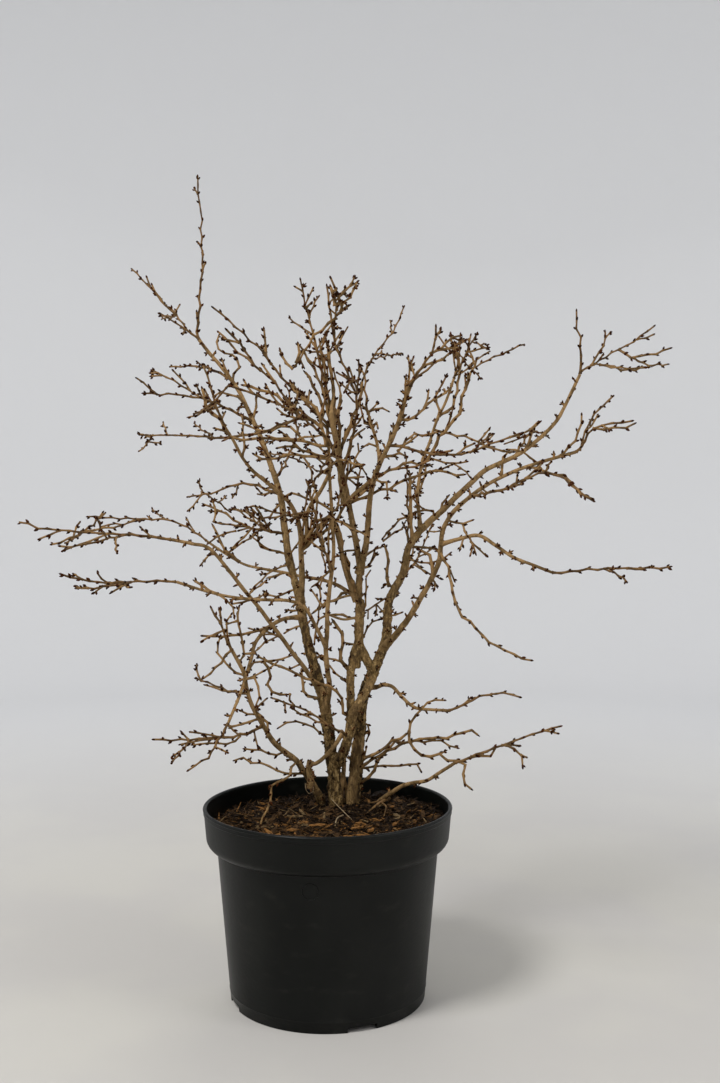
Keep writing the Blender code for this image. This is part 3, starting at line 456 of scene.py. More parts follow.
MASSES = {
    "twigs_top_left": Mass("stem_left", 11, None, [
        [(-15.5, 13.8, 85.2), (-15.9, 12.5, 94.1)],
        [(-20.6, 17.8, 79.3), (-25.5, 20.4, 84.5)],
        [(-20.5, 11.2, 77.4)],
        [(-22, 23, 78.5)],
    ]),
    "twigs_upper_left_side": Mass("stem_left", 12, (-12, 12.3, 69.5), [
        [(-15.4, 15.1, 71.3), (-20.6, 19.7, 71.9)],
        [(-15.7, 8.6, 71.3)],
    ]),
    "twigs_left_shoulder": Mass("stem_left", 13, (-9, 11, 64.4), [
        [(-14.7, 8, 66.8), (-21.3, 4, 67.1)],
        [(-18.5, 9, 69), (-21.3, 10, 70.5)],
        [(-20.1, 3, 67.4), (-21.4, 1, 68.6)],
        [(-10.8, 14.6, 67.1)],
    ]),
    "twigs_left_side": Mass("stem_left", 14, (-8.4, 10.6, 63), [
        [(-12.8, 12.7, 62.6), (-24.2, 17.8, 63.2)],
        [(-24.3, 23.7, 62.1)],
        [(-17.6, 20.4, 64.9)],
    ]),
    "twigs_left_inner": Mass("bough_inner_left", 15, None, [
        [(-12.8, -6.8, 66.6)],
        [(-13.1, -12.7, 63.4)],
        [(-9.2, -12, 66.7)],
    ]),
    "twigs_inner_left": Mass("bough_inner_left", 16, (-3.2, 4.7, 49), [
        [(-2.6, 1.6, 53.2), (-1.8, -3.6, 57.2)],
        [(-4.6, -2.1, 52.6)],
    ]),
    "twigs_front_left": Mass("bough_slim", 17, None, [
        [(-3.2, -9.4, 64.4), (-6.1, -13.4, 67.5), (-9.4, -17.3, 71.3)],
        [(-10.9, -11.2, 71.9)],
        [(-4.5, -20, 64)],
        [(-8.7, -20, 65.5)],
        [(-7.5, -11.5, 61.4)],
    ]),
    "twigs_front": Mass("bough_slim", 50, (0.4, 2.9, 47), [
        [(-0.9, -4, 51.6), (-1.9, -12, 57)],
        [(3.6, -13, 55.4)],
        [(-5.6, -13, 53)],
        [(1.4, -19, 60.4)],
    ]),
    "twigs_upper_left": Mass("stem_middle", 18, (0.7, 4, 63), [
        [(-4.2, 1.6, 67.7), (-8.4, -1, 72.3), (-12.5, -2.8, 75.8)],
        [(-7.2, 4, 74.5)],
        [(-5.6, 6, 71.6)],
        [(-3.2, -5.4, 71.8)],
    ]),
    "twigs_crown_left": Mass("stem_middle", 19, None, [
        [(-1.6, 4, 73.7), (-2.6, 4, 77), (-3.2, 3, 80)],
        [(-1.1, 7, 78.7)],
        [(-4.8, 8, 76.3)],
        [(0.6, 8.6, 73.6)],
    ]),
    "twigs_crown_centre": Mass("stem_middle", 20, (1.7, 4.4, 58), [
        [(2.9, 1.6, 63.3), (3.3, -1, 66), (1.4, -3.6, 70.3), (0, -4.1, 78)],
        [(1.2, -8.6, 76.8)],
        [(3.5, -0.2, 79)],
        [(2.5, -10.7, 74.6)],
        [(3.4, -9.4, 69.3)],
    ]),
    "twigs_crown_front": Mass("bough_centre_right", 21, None, [
        [(10.8, -9.4, 69.7), (11.2, -11.5, 72.6)],
        [(8.5, -14.7, 69.5)],
        [(12.5, -4.1, 70.1)],
        [(7.3, -16, 66.6)],
        [(10.7, -16.5, 66)],
    ]),
    "twigs_crown_back": Mass("bough_back", 22, None, [
        [(4.2, 13.8, 70.5), (7.4, 17, 75.9), (9.2, 19.1, 79.6)],
        [(9.2, 24.4, 74.2)],
        [(3, 21.7, 72.3)],
        [(5.8, 19.9, 67.3)],
    ]),
    "twigs_back_left": Mass("stem_left", 49, (-6.3, 9.2, 57.4), [
        [(-5.2, 15, 60.5), (-4, 22, 65)],
        [(-9.5, 24, 61)],
        [(-0.5, 24, 58.4)],
        [(-6, 21, 70)],
    ]),
    "twigs_right_mid": Mass("bough_centre_right", 23, (6.8, -0.2, 60.8), [
        [(13.4, -7.6, 59.5), (16, -10.7, 60.2), (19.8, -12, 61.6)],
        [(16.3, -17.8, 61.2)],
        [(14.7, -14.2, 56.9)],
    ]),
    "twigs_far_right": Mass("stem_right", 24, None, [
        [(29.1, 9.6, 77.6)],
        [(34.9, 13, 73.1), (39.2, 12.5, 76.1)],
        [(34.5, 17.8, 75.7)],
        [(39.7, 8, 72.6)],
        [(42.6, 19.1, 72.5)],
    ]),
    "twigs_right_over": Mass("stem_right", 25, (22, 10.5, 60.2), [
        [(25.8, 16.4, 64.9)],
        [(27.8, 21.7, 63.1)],
        [(21.7, 19.6, 62.1)],
    ]),
    "twigs_right": Mass("bough_right", 26, None, [
        [(27.6, -8.1, 62.2), (31.4, -10.7, 62.9)],
        [(28.3, -4.9, 63.9), (31.1, -2.3, 66.3)],
        [(28, -0.2, 64.6)],
        [(29.2, -14.7, 60.4)],
    ]),
    "twigs_right_under": Mass("bough_right", 27, (15.4, -2.1, 55.1), [
        [(18.7, -9.9, 56), (22.1, -12.8, 57.5), (26.1, -17.3, 54.8)],
        [(19.5, -16, 56.5)],
    ]),
    "twigs_right_level": Mass("bough_right_level", 28, None, [
        [(28.9, -8.1, 47.8), (35.4, -10.7, 48.1)],
        [(30.2, -13.4, 46.6)],
    ]),
    "twigs_right_hanging": Mass("bough_right", 29, (12.4, 0.9, 48.4), [
        [(13.6, -4.1, 44.1), (16.8, -8.1, 40.5), (20.9, -12, 38.7)],
        [(13.6, -9.4, 44.8)],
    ]),
    "twigs_crown_right": Mass("bough_right_up", 30, None, [
        [(15.7, 15.6, 72.8), (16, 16.4, 75.8)],
        [(17.6, 10.4, 75)],
        [(18.4, 6.6, 72.8)],
        [(21.2, 17, 73.1), (24.4, 19.1, 74.7)],
        [(15.2, 23, 76.5)],
        [(19.3, 23.8, 70.7)],
    ]),
    "twigs_inner_right": Mass("stem_right", 31, (9.4, 8, 49.4), [
        [(9.3, 11.7, 55), (9.1, 16.4, 61.1)],
        [(11.6, 19.1, 56)],
    ]),
    "twigs_inner_middle": Mass("stem_right", 32, (7.5, 7.7, 44.8), [
        [(7, 11.2, 49), (6.4, 19.1, 54.6)],
        [(3.6, 20.4, 51)],
    ]),
    "twigs_far_left": Mass("bough_left_low", 33, None, [
        [(-22.9, -7.3, 51.3), (-27.5, -8.1, 51.6), (-31.8, -9.4, 52.7)],
        [(-25.5, -16, 49.8)],
        [(-28.6, -2, 50.2)],
        [(-24.4, -0.2, 53.6)],
        [(-22.6, -13.4, 53.2)],
    ]),
    "twigs_left_back": Mass("bough_left_back", 34, None, [
        [(-21, 17.8, 52.7), (-29.8, 21.1, 51.6)],
        [(-30.1, 14.6, 53)],
        [(-23.7, 24.4, 54)],
    ]),
    "twigs_left_level": Mass("bough_left_level", 35, None, [
        [(-22.7, -8.1, 46.2), (-27.1, -10.7, 47.4)],
        [(-26.9, -4.9, 45.5)],
        [(-22, -15.2, 46.4)],
    ]),
    "twigs_left_mid": Mass("stem_left", 36, (-5.8, 8.7, 55.6), [
        [(-10.8, 11.2, 57), (-14.2, 13.8, 55.8), (-18.1, 17, 55.4)],
        [(-17, 21.7, 57.7)],
        [(-12.7, 19.7, 53.4)],
    ]),
    "twigs_left_mid_low": Mass("stem_left", 37, (-5.1, 7.7, 51), [
        [(-9.2, 5, 51.8), (-13.2, 3, 52.5)],
        [(-11.4, 7.6, 54.2)],
        [(-9.2, -0.7, 54.2)],
    ]),
    "twigs_left_down": Mass("bough_left_down", 38, None, [
        [(-11.7, -12, 29), (-13.6, -14.7, 28)],
        [(-9.1, -17.3, 29.9)],
    ]),
    "twigs_low_left": Mass("stem_low_left", 39, None, [
        [(-10.9, -6.8, 41.6), (-11.1, -8.1, 43.8)],
        [(-12.6, -12.8, 43.5)],
        [(-8.6, -13.4, 43.3)],
        [(-14.2, -0.2, 39.1)],
        [(-13.4, -2.8, 42.7)],
    ]),
    "twigs_low_left_back": Mass("stem_low_left", 40, (-8.7, -2.4, 33.8), [
        [(-12.5, 1, 34.1), (-15.2, 3.4, 34.8)],
        [(-12.2, 5, 37)],
    ]),
    "twigs_low_left_side": Mass("stem_low_left", 41, (-7.2, -1, 30.2), [
        [(-9.9, -5.4, 29.7), (-17.5, -12, 30.7)],
        [(-14.8, -16.8, 29.2)],
        [(-14.9, -4.1, 30)],
    ]),
    "twigs_low_left_fan": Mass("stem_low_left", 42, (-3.6, 1.2, 25.8), [
        [(-7.6, 4, 26.3), (-11.3, 6.4, 25)],
        [(-10, 10.5, 26.4)],
    ]),
    "twigs_low_left_droop": Mass("stem_low_left", 43, (-4.6, 0.6, 26.7), [
        [(-6, -2.3, 24.8), (-7.3, -6, 21.4)],
    ]),
    "twigs_between": Mass("stem_middle", 44, (2, 3.5, 28), [
        [(0.9, 0.4, 29.6), (-1.9, -1, 31.5), (-6.1, -4.6, 33.8)],
        [(-4.2, -7, 32.5)],
    ]),
    "twigs_low_right": Mass("stem_low_right", 45, None, [
        [(16.5, -4.1, 27.8), (19.9, -4.1, 28.9), (25.2, -5.4, 30.9)],
        [(20.3, -10.2, 27.2)],
        [(21.9, 0.6, 27.8)],
        [(15.2, -9.9, 25.1)],
    ]),
    "twigs_low_right_level": Mass("bough_low_right", 46, None, [
        [(17.2, -6.2, 34.5), (20.3, -9.4, 34.5)],
        [(12.4, -10.7, 34.8)],
    ]),
    "twigs_low_right_fan": Mass("stem_right", 47, (3.2, 5.9, 24.5), [
        [(6.8, 5.4, 27), (11.6, 4.6, 27.8), (16.7, 3.4, 28.8)],
        [(15.3, 9, 26)],
        [(10.4, 7, 31)],
    ]),
    "twigs_back": Mass("stem_right", 48, (6.9, 7.2, 42), [
        [(8.4, 12.5, 45), (11.1, 20.4, 47.9), (13.2, 27, 51.9)],
        [(6.1, 27, 46.8)],
        [(14.2, 21.7, 44.8)],
    ]),
}

print("masses:", len(MASSES))

# %% [markdown]
# ## Smooth ways
# A limb bends smoothly through its corners and turns a little at each old node. A Catmull-Rom curve gives the
# first, because it passes through every corner, and small seeded moves give the second.

# %% Draw a way through corners
class Path(NamedTuple):
    """The points along a limb or a twig, and its radius at each."""

    points: list
    radii: list


def metres(place):
    """A place from the tables above, in metres."""
    return Vector(place) / 100


def smooth_way(corners, step):
    """Points about a step apart on a smooth curve through the corners."""
    before = 2 * corners[0] - corners[1]
    after = 2 * corners[-1] - corners[-2]
    ring = [before, *corners, after]
    points = [corners[0]]
    for a, b, c, d in zip(ring, ring[1:], ring[2:], ring[3:]):
        pieces = max(1, round((c - b).length / step))
        for piece in range(1, pieces + 1):
            t = piece / pieces
            straight = 2 * b + (c - a) * t
            bend = (2 * a - 5 * b + 4 * c - d) * t**2 + (3 * b - a - 3 * c + d) * t**3
            points.append((straight + bend) / 2)
    return points


def knobbled(points, size, rng, fixed=1):
    """Moves all points but the first few and the last a little, as each node of a twig turns it a little."""
    free = points[fixed:-1]
    moves = [Vector(rng.uniform(-size, size) for _ in range(3)) for _ in free]
    return [*points[:fixed], *(point + move for point, move in zip(free, moves)), points[-1]]


def heading(points, at):
    """The direction of a way at one of its points."""
    return (points[min(at + 1, len(points) - 1)] - points[max(at - 1, 0)]).normalized()


def distances(points):
    """How far along its way each point lies."""
    along = [0.0]
    for a, b in zip(points, points[1:]):
        along.append(along[-1] + (b - a).length)
    return along


def nearest_on(path, place):
    """Where a way passes nearest to a place: the point, and the limb's radius there."""
    best = None
    for a, b, start, end in zip(path.points, path.points[1:], path.radii, path.radii[1:]):
        share = (place - a).dot(b - a) / (b - a).length_squared
        share = min(1, max(0, share))
        point = a.lerp(b, share)
        if best is None or (point - place).length < best[0]:
            best = ((point - place).length, point, start + share * (end - start))
    return best[1], best[2]
print("ways ready")

# %% [markdown]
# ## The ways of the limbs
# A limb tapers slowly at first and faster near its tip. One that rises from the ground flares at its root. A limb
# that leaves another starts at the nearest point of its parent's way.

# %% Work out the limbs
LIMB_STEP = 0.024
LIMB_KNOBBLE = 0.0009
FLARE_SHARE = 0.2
FLARE_HEIGHT = 0.018
LIMB_TAPER = 1.35
STRAIGHT_START = 0.004


def limb_path(name, limb, paths):
    """A limb's way and radii: a slow taper, with a root flare where it stands on the mulch."""
    corners = [metres(place) for place in limb.way]
    fixed = 1
    if limb.parent:
        corners[0], _ = nearest_on(paths[limb.parent], corners[0])
    else:
        corners[0].z = MULCH_TOP + GAP
        corners.insert(1, corners[0] + Vector((0, 0, STRAIGHT_START)))
        fixed = 2
    points = knobbled(smooth_way(corners, LIMB_STEP), LIMB_KNOBBLE, random.Random(name), fixed)
    along = distances(points)
    radii = []
    for distance in along:
        share = 1 - distance / along[-1]
        radius = (limb.tip_radius + (limb.foot_radius - limb.tip_radius) * share**LIMB_TAPER) / 1000
        if limb.parent is None:
            radius += FLARE_SHARE * limb.foot_radius / 1000 * math.exp(-distance / FLARE_HEIGHT)
        radii.append(radius)
    return Path(points, radii)


limb_paths = {}
for name, limb in LIMBS.items():
    limb_paths[name] = limb_path(name, limb, limb_paths)
wood = sum(distances(path.points)[-1] for path in limb_paths.values())
print("limbs, end to end:", round(wood, 2), "m")

# %% [markdown]
# ## Room to grow
# A twig doesn't run into another, so everything grown is also kept as balls set closely along its way. A new twig
# is taken only where its own balls are clear of them. Its first stretch may touch what carries it.

# %% Keep what is grown
TWIG_CLEARANCE = 0.0014
BALL_SPACING = 0.002


class Grown:
    """Everything grown so far, as balls along its way, so that nothing new runs into it."""

    def __init__(self):
        self.centres = np.empty((0, 3))
        self.radii = np.empty(0)
        self.owners = np.empty(0, int)

    @staticmethod
    def balls(path):
        """Centres, radii and distances along the way of balls set close together."""
        centres, radii, along = [], [], []
        start = 0.0
        ends = zip(path.points, path.points[1:], path.radii, path.radii[1:])
        for a, b, first, last in ends:
            count = max(1, math.ceil((b - a).length / BALL_SPACING))
            for number in range(count):
                share = number / count
                centres.append(a.lerp(b, share))
                radii.append(first + share * (last - first))
                along.append(start + share * (b - a).length)
            start += (b - a).length
        centres.append(path.points[-1])
        radii.append(path.radii[-1])
        along.append(start)
        return np.array(centres), np.array(radii), np.array(along)

    def add(self, path, owner):
        centres, radii, _ = self.balls(path)
        self.centres = np.vstack([self.centres, centres])
        self.radii = np.append(self.radii, radii)
        self.owners = np.append(self.owners, np.full(len(radii), owner))

    def clear(self, path, relatives, free_length):
        """True where a way touches nothing. Its first stretch may be close to its own relatives."""
        centres, radii, along = self.balls(path)
        reach = radii.max() + self.radii.max(initial=0) + TWIG_CLEARANCE
        near = (self.centres > centres.min(axis=0) - reach).all(axis=1)
        near &= (self.centres < centres.max(axis=0) + reach).all(axis=1)
        if not near.any():
            return True
        apart = np.linalg.norm(centres[:, None] - self.centres[near][None], axis=2)
        needed = radii[:, None] + self.radii[near][None] + TWIG_CLEARANCE
        related = np.isin(self.owners[near], relatives)
        forgiven = related[None] & (along[:, None] < free_length)
        return not ((apart < needed) & ~forgiven).any()


grown = Grown()
owners = {name: number for number, name in enumerate([*LIMBS, *MASSES])}
for name, path in limb_paths.items():
    grown.add(path, owners[name])
print("balls along the limbs:", len(grown.radii))

# %% [markdown]
# ## Main twigs
# The first twig of a mass leaves its limb, and each further one leaves whichever node of the earlier twigs reaches
# its goal at the easiest angle. Where something is in the way, it swerves a little.

# %% Grow the main twigs
MAIN_TWIG_RADIUS = 0.0018
MAIN_TWIG_SHARE = 0.8
TWIG_STEP = 0.021
TWIG_KNOBBLE = 0.0016
TWIG_TIP_RADIUS = 0.0008
TRIANGLE_FAT = 1.2
TURN_COST = 1.6
FREE_LENGTH = 0.012
BUD_LENGTH = 0.0065
BUD_RADIUS = 0.0016
BUD_SHARE = 0.4
SWERVE = 0.007
SHORTEST_TWIG = 0.014


def twig_path(points, base_radius):
    """A tapering twig that ends in a pointed bud."""
    along = distances(points)
    bud = min(BUD_LENGTH, BUD_SHARE * (points[-1] - points[-2]).length)
    tip = points[-1]
    back = (points[-2] - tip).normalized()
    points = [*points[:-1], tip + bud * back, tip]
    taper = (TWIG_TIP_RADIUS - base_radius) / along[-1]
    radii = [base_radius + taper * distance for distance in along[:-1]]
    radii += [BUD_RADIUS, TWIG_TIP_RADIUS / 2]
    return Path(points, [radius * TRIANGLE_FAT for radius in radii])


def best_fork(twigs, goal):
    """The node of a mass's twigs from which a new twig reaches its goal at the easiest angle."""
    best = None
    for path in twigs:
        for at in range(1, len(path.points) - 2):
            way = goal - path.points[at]
            if way.length < SHORTEST_TWIG:
                continue
            cost = way.length * (TURN_COST - heading(path.points, at).dot(way.normalized()))
            if best is None or cost < best[0]:
                best = (cost, path.points[at], path.radii[at] / TRIANGLE_FAT)
    return best[1], best[2]


def swerves():
    """Small steps to one side and the other, growing, by which a twig passes what is in its way."""
    yield Vector((0, 0, 0))
    for size in (1, 2, 3):
        for side in ((0, 1, 0), (0, -1, 0), (0, 0, 1), (0, 0, -1)):
            yield Vector(side) * size * SWERVE


def main_twig(lead, corners, base_radius, rng, grown, relatives, free_length):
    """A twig from its lead through its corners to its tip, or None where nothing clear is found."""
    state = rng.getstate()
    for swerve in swerves():
        rng.setstate(state)
        between = corners[:-1] or [(lead[-1] + corners[-1]) / 2]
        bent = [*lead, *(corner + swerve for corner in between), corners[-1]]
        points = knobbled(smooth_way(bent, TWIG_STEP), TWIG_KNOBBLE, rng, len(lead))
        path = twig_path(points, base_radius)
        if grown.clear(path, relatives, free_length):
            return path
    return None


def main_twigs(mass, own, parent, owners, grown):
    """The main twigs of a mass, which reach the tips that make the crown's outline."""
    rng = random.Random(mass.seed)
    carrier = parent.points[-1], parent.radii[-1]
    if mass.leaves_at:
        carrier = nearest_on(parent, metres(mass.leaves_at))
    relatives = [own, owners[mass.parent]]
    twigs = []
    for way in mass.ways:
        corners = [metres(place) for place in way]
        if twigs:
            start, radius = best_fork(twigs, corners[0])
            lead = [start]
            radius *= MAIN_TWIG_SHARE
            free_length = FREE_LENGTH
        elif mass.leaves_at:
            lead = [carrier[0]]
            radius = min(MAIN_TWIG_RADIUS, MAIN_TWIG_SHARE * carrier[1])
            free_length = 2.5 * carrier[1] + FREE_LENGTH
        else:
            onward = heading(parent.points, len(parent.points) - 1)
            lead = [carrier[0] + GAP * onward, carrier[0] + STRAIGHT_START * onward]
            radius = carrier[1] / TRIANGLE_FAT
            free_length = FREE_LENGTH
        path = main_twig(lead, corners, radius, rng, grown, relatives, free_length)
        if path:
            twigs.append(path)
            grown.add(path, own)
    return twigs


twig_paths = {}
for name, mass in MASSES.items():
    twig_paths[name] = main_twigs(mass, owners[name], limb_paths[mass.parent], owners, grown)
print("main twigs:", sum(len(twigs) for twigs in twig_paths.values()))

# %% [markdown]
# ## Side twigs
# Side twigs leave the nodes of the main ones. Each node is turned on from the last by the golden angle, as leaves
# are on a real shoot, and side twigs get shorter towards the tip.

# %% Grow the side twigs
FORK_SHARE = 0.55
SIDE_FREE_LENGTH = 0.008
ROOM_MARGIN = 0.012
NODE_TURN = math.radians(137.5)
SIDE_CHANCE = 0.52
SIDE_ANGLE = (math.radians(36), math.radians(62))
SIDE_LENGTH = (0.024, 0.078)
SIDE_SHORTENING = 0.6
SIDE_SWAY = 0.16
UPWARD = 0.07


def side_twig(path, at, turn, length, rng, space, grown, relatives):
    """A twig that leaves another at a node, or None where it would leave the space or touch a limb."""
    ahead = heading(path.points, at)
    across = ahead.orthogonal().normalized()
    across.rotate(Matrix.Rotation(turn, 3, ahead))
    angle = rng.uniform(*SIDE_ANGLE)
    direction = ahead * math.cos(angle) + across * math.sin(angle)
    count = max(2, round(length / TWIG_STEP))
    points = [path.points[at]]
    for _ in range(count):
        sway = Vector(rng.uniform(-SIDE_SWAY, SIDE_SWAY) for _ in range(3))
        direction = (direction + sway + Vector((0, 0, UPWARD))).normalized()
        points.append(points[-1] + direction * length / count)
    lowest, highest = space
    inside = (lowest[axis] < point[axis] < highest[axis] for point in points for axis in range(3))
    if not all(inside):
        return None
    twig = twig_path(points, path.radii[at] / TRIANGLE_FAT * FORK_SHARE)
    if not grown.clear(twig, relatives, 3 * path.radii[at] + SIDE_FREE_LENGTH):
        return None
    return twig


def space_of(twigs):
    """The space that a mass keeps to: the box round its main twigs and a small margin."""
    points = [point for path in twigs for point in path.points]
    lowest = [min(point[axis] for point in points) - ROOM_MARGIN for axis in range(3)]
    highest = [max(point[axis] for point in points) + ROOM_MARGIN for axis in range(3)]
    return lowest, highest


def side_twigs(mass, own, twigs, grown):
    """Side twigs at the nodes of the main twigs, each turned on from the last."""
    rng = random.Random(mass.seed + 100)
    space = space_of(twigs)
    made = []
    for path in twigs:
        last = len(path.points) - 2
        turn = rng.uniform(0, math.tau)
        for at in range(1, last):
            turn += NODE_TURN
            wanted = rng.random() < SIDE_CHANCE
            length = rng.uniform(*SIDE_LENGTH) * (1 - SIDE_SHORTENING * at / last)
            if not wanted or length < SHORTEST_TWIG:
                continue
            twig = side_twig(path, at, turn, length, rng, space, grown, [own])
            if twig:
                made.append(twig)
                grown.add(twig, own)
    return made


for name, mass in MASSES.items():
    twig_paths[name] += side_twigs(mass, owners[name], twig_paths[name], grown)
print("twigs of the frame:", sum(len(twigs) for twigs in twig_paths.values()))

# %% [markdown]
# ## Shoots, node by node
# Seen closely, a twig of this shrub is a row of short straight pieces: it turns a little to one side and then to
# the other at each node, about a centimetre apart, and every node carries a bud on a small cushion. A shoot here is
# therefore its nodes with the radius at each, and a turn that says on which side its first bud sits.

# %% Set nodes along a twig
NODE_SPACING = 0.0105
ZIGZAG = (0.0004, 0.0011)
NODE_JITTER = 0.0003
SLIMMEST = 0.00108
BUD_ROOM = 0.0036
LIFE = random.Random(7)


class Shoot(NamedTuple):
    """A twig as nodes: points and radii, the mass or limb it belongs to, its order, and its first bud's turn."""

    points: list
    radii: list
    home: str
    order: int
    turn: float


def across(ahead, turn):
    """A direction at right angles to a heading, turned round it."""
    side = ahead.orthogonal().normalized()
    side.rotate(Matrix.Rotation(turn, 3, ahead))
    return side


def at_distance(along, values, distance):
    """A value at a distance along a way, between the two given on either side."""
    return float(np.interp(distance, along, values))


def noded(points, radii, home, order):
    """A shoot from a smooth way: nodes at even distances, zigzagged, with room left for the bud at its end."""
    smooth = smooth_way(points, 0.003)
    smooth[-1] = smooth[-1] - heading(smooth, len(smooth) - 1) * BUD_ROOM
    along, coarse = distances(smooth), distances(points)
    scale = along[-1] / coarse[-1]
    count = max(1, round(along[-1] / NODE_SPACING))
    turn = LIFE.uniform(0, math.tau)
    nodes, sizes = [], []
    for number in range(count + 1):
        distance = along[-1] * number / count
        nodes.append(Vector(at_distance(along, [point[axis] for point in smooth], distance) for axis in range(3)))
        sizes.append(max(SLIMMEST, at_distance(coarse, radii, distance / scale)))
    moved = [nodes[0]]
    for number in range(1, count):
        side = across(heading(nodes, number), turn + LIFE.uniform(-0.5, 0.5))
        swing = LIFE.uniform(*ZIGZAG) * (1 if number % 2 else -1)
        jitter = Vector(LIFE.uniform(-NODE_JITTER, NODE_JITTER) for _ in range(3))
        moved.append(nodes[number] + side * swing + jitter)
    return Shoot([*moved, nodes[-1]], sizes, home, order, turn)


# %% [markdown]
# Some of the frame's main twigs are only stand-ins: the real ones bend in ways that are read off the picture further
# down. They are left out here, by their numbers in the table, with the side twigs that grow on them.

# %% Keep the frame's twigs that aren't drawn again
REDRAWN = {
    "twigs_upper_left": (1, 2, 3),
    "twigs_crown_front": (1, 3, 4),
    "twigs_crown_back": (2, 3),
    "twigs_right_mid": (2,),
    "twigs_far_right": (2, 3, 4),
    "twigs_right": (2, 3),
    "twigs_right_hanging": (0, 1),
    "twigs_inner_middle": (0, 1),
    "twigs_low_left": (1, 2, 3, 4),
    "twigs_low_left_back": (1,),
    "twigs_low_left_fan": (0, 1),
    "twigs_low_left_droop": (0,),
    "twigs_left_down": (1,),
    "twigs_low_right": (1, 2, 3),
    "twigs_low_right_level": (1,),
    "twigs_low_right_fan": (0, 1, 2),
    "twigs_back": (1,),
}


def kept_twigs(name, twigs):
    """The twigs of a mass that stay, each with its order: 1 for a main twig, 2 for a side twig."""
    lost = set(REDRAWN.get(name, ()))
    ways = [smooth_way(path.points, 0.003) for path in twigs]
    mains = len(MASSES[name].ways)
    for number in range(mains, len(twigs)):
        foot = ways[number][0]
        carrier = min(range(number), key=lambda other: min((foot - point).length for point in ways[other]))
        if carrier in lost:
            lost.add(number)
    return [(path, 1 if number < mains else 2) for number, path in enumerate(twigs) if number not in lost]


kept_paths = {name: kept_twigs(name, twigs) for name, twigs in twig_paths.items()}
shoots = []
for name, kept in kept_paths.items():
    for path, order in kept:
        points = [*path.points[:-2], path.points[-1]]
        radii = [radius / TRIANGLE_FAT for radius in path.radii[:-2]] + [SLIMMEST]
        shoots.append(noded(points, radii, name, order))
print("shoots:", len(shoots), "with", sum(len(shoot.points) for shoot in shoots), "nodes")

# %% [markdown]
# ## Twigs that the lens sees
# Many crossing twigs give this shrub its own face, and no rule would put them there. The picture's frame of 720
# steps across and 1083 down serves as a ruler: a twig is read off it corner by corner. Its foot is the nearest point
# of what carries it, and from there it leans nearer or further away, by a number of centimetres at its tip.

# %% Turn places in the frame into points
FRAME_WIDTH, FRAME_HEIGHT = 720, 1083
FRAME_STEPS = LENS / camera.data.sensor_width * FRAME_HEIGHT
CAMERA_TURN = Matrix.Rotation(math.radians(90) - CAMERA_TILT, 3, "X")


def seen(point):
    """The place in the frame, across and down, where the lens sees a point."""
    place = CAMERA_TURN.transposed() @ (point - CAMERA_PLACE)
    across_frame = FRAME_WIDTH / 2 - FRAME_STEPS * place.x / place.z
    return Vector((across_frame, FRAME_HEIGHT / 2 + FRAME_STEPS * place.y / place.z))


def placed(place, depth):
    """The point at a depth behind the pot's middle that the lens sees at a place in the frame."""
    ray = CAMERA_TURN @ Vector((place[0] - FRAME_WIDTH / 2, FRAME_HEIGHT / 2 - place[1], -FRAME_STEPS))
    return CAMERA_PLACE + ray * ((depth - CAMERA_PLACE.y) / ray.y)


def places_in(text):
    return [Vector(float(value) for value in pair.split(",")) for pair in text.split()]


print("the middle of the mulch is seen at", tuple(round(value) for value in seen(Vector((0, 0, MULCH_TOP)))))

# %% [markdown]
# Each row has the lean in centimetres, the radius of the foot in millimetres, and the corners of the way.

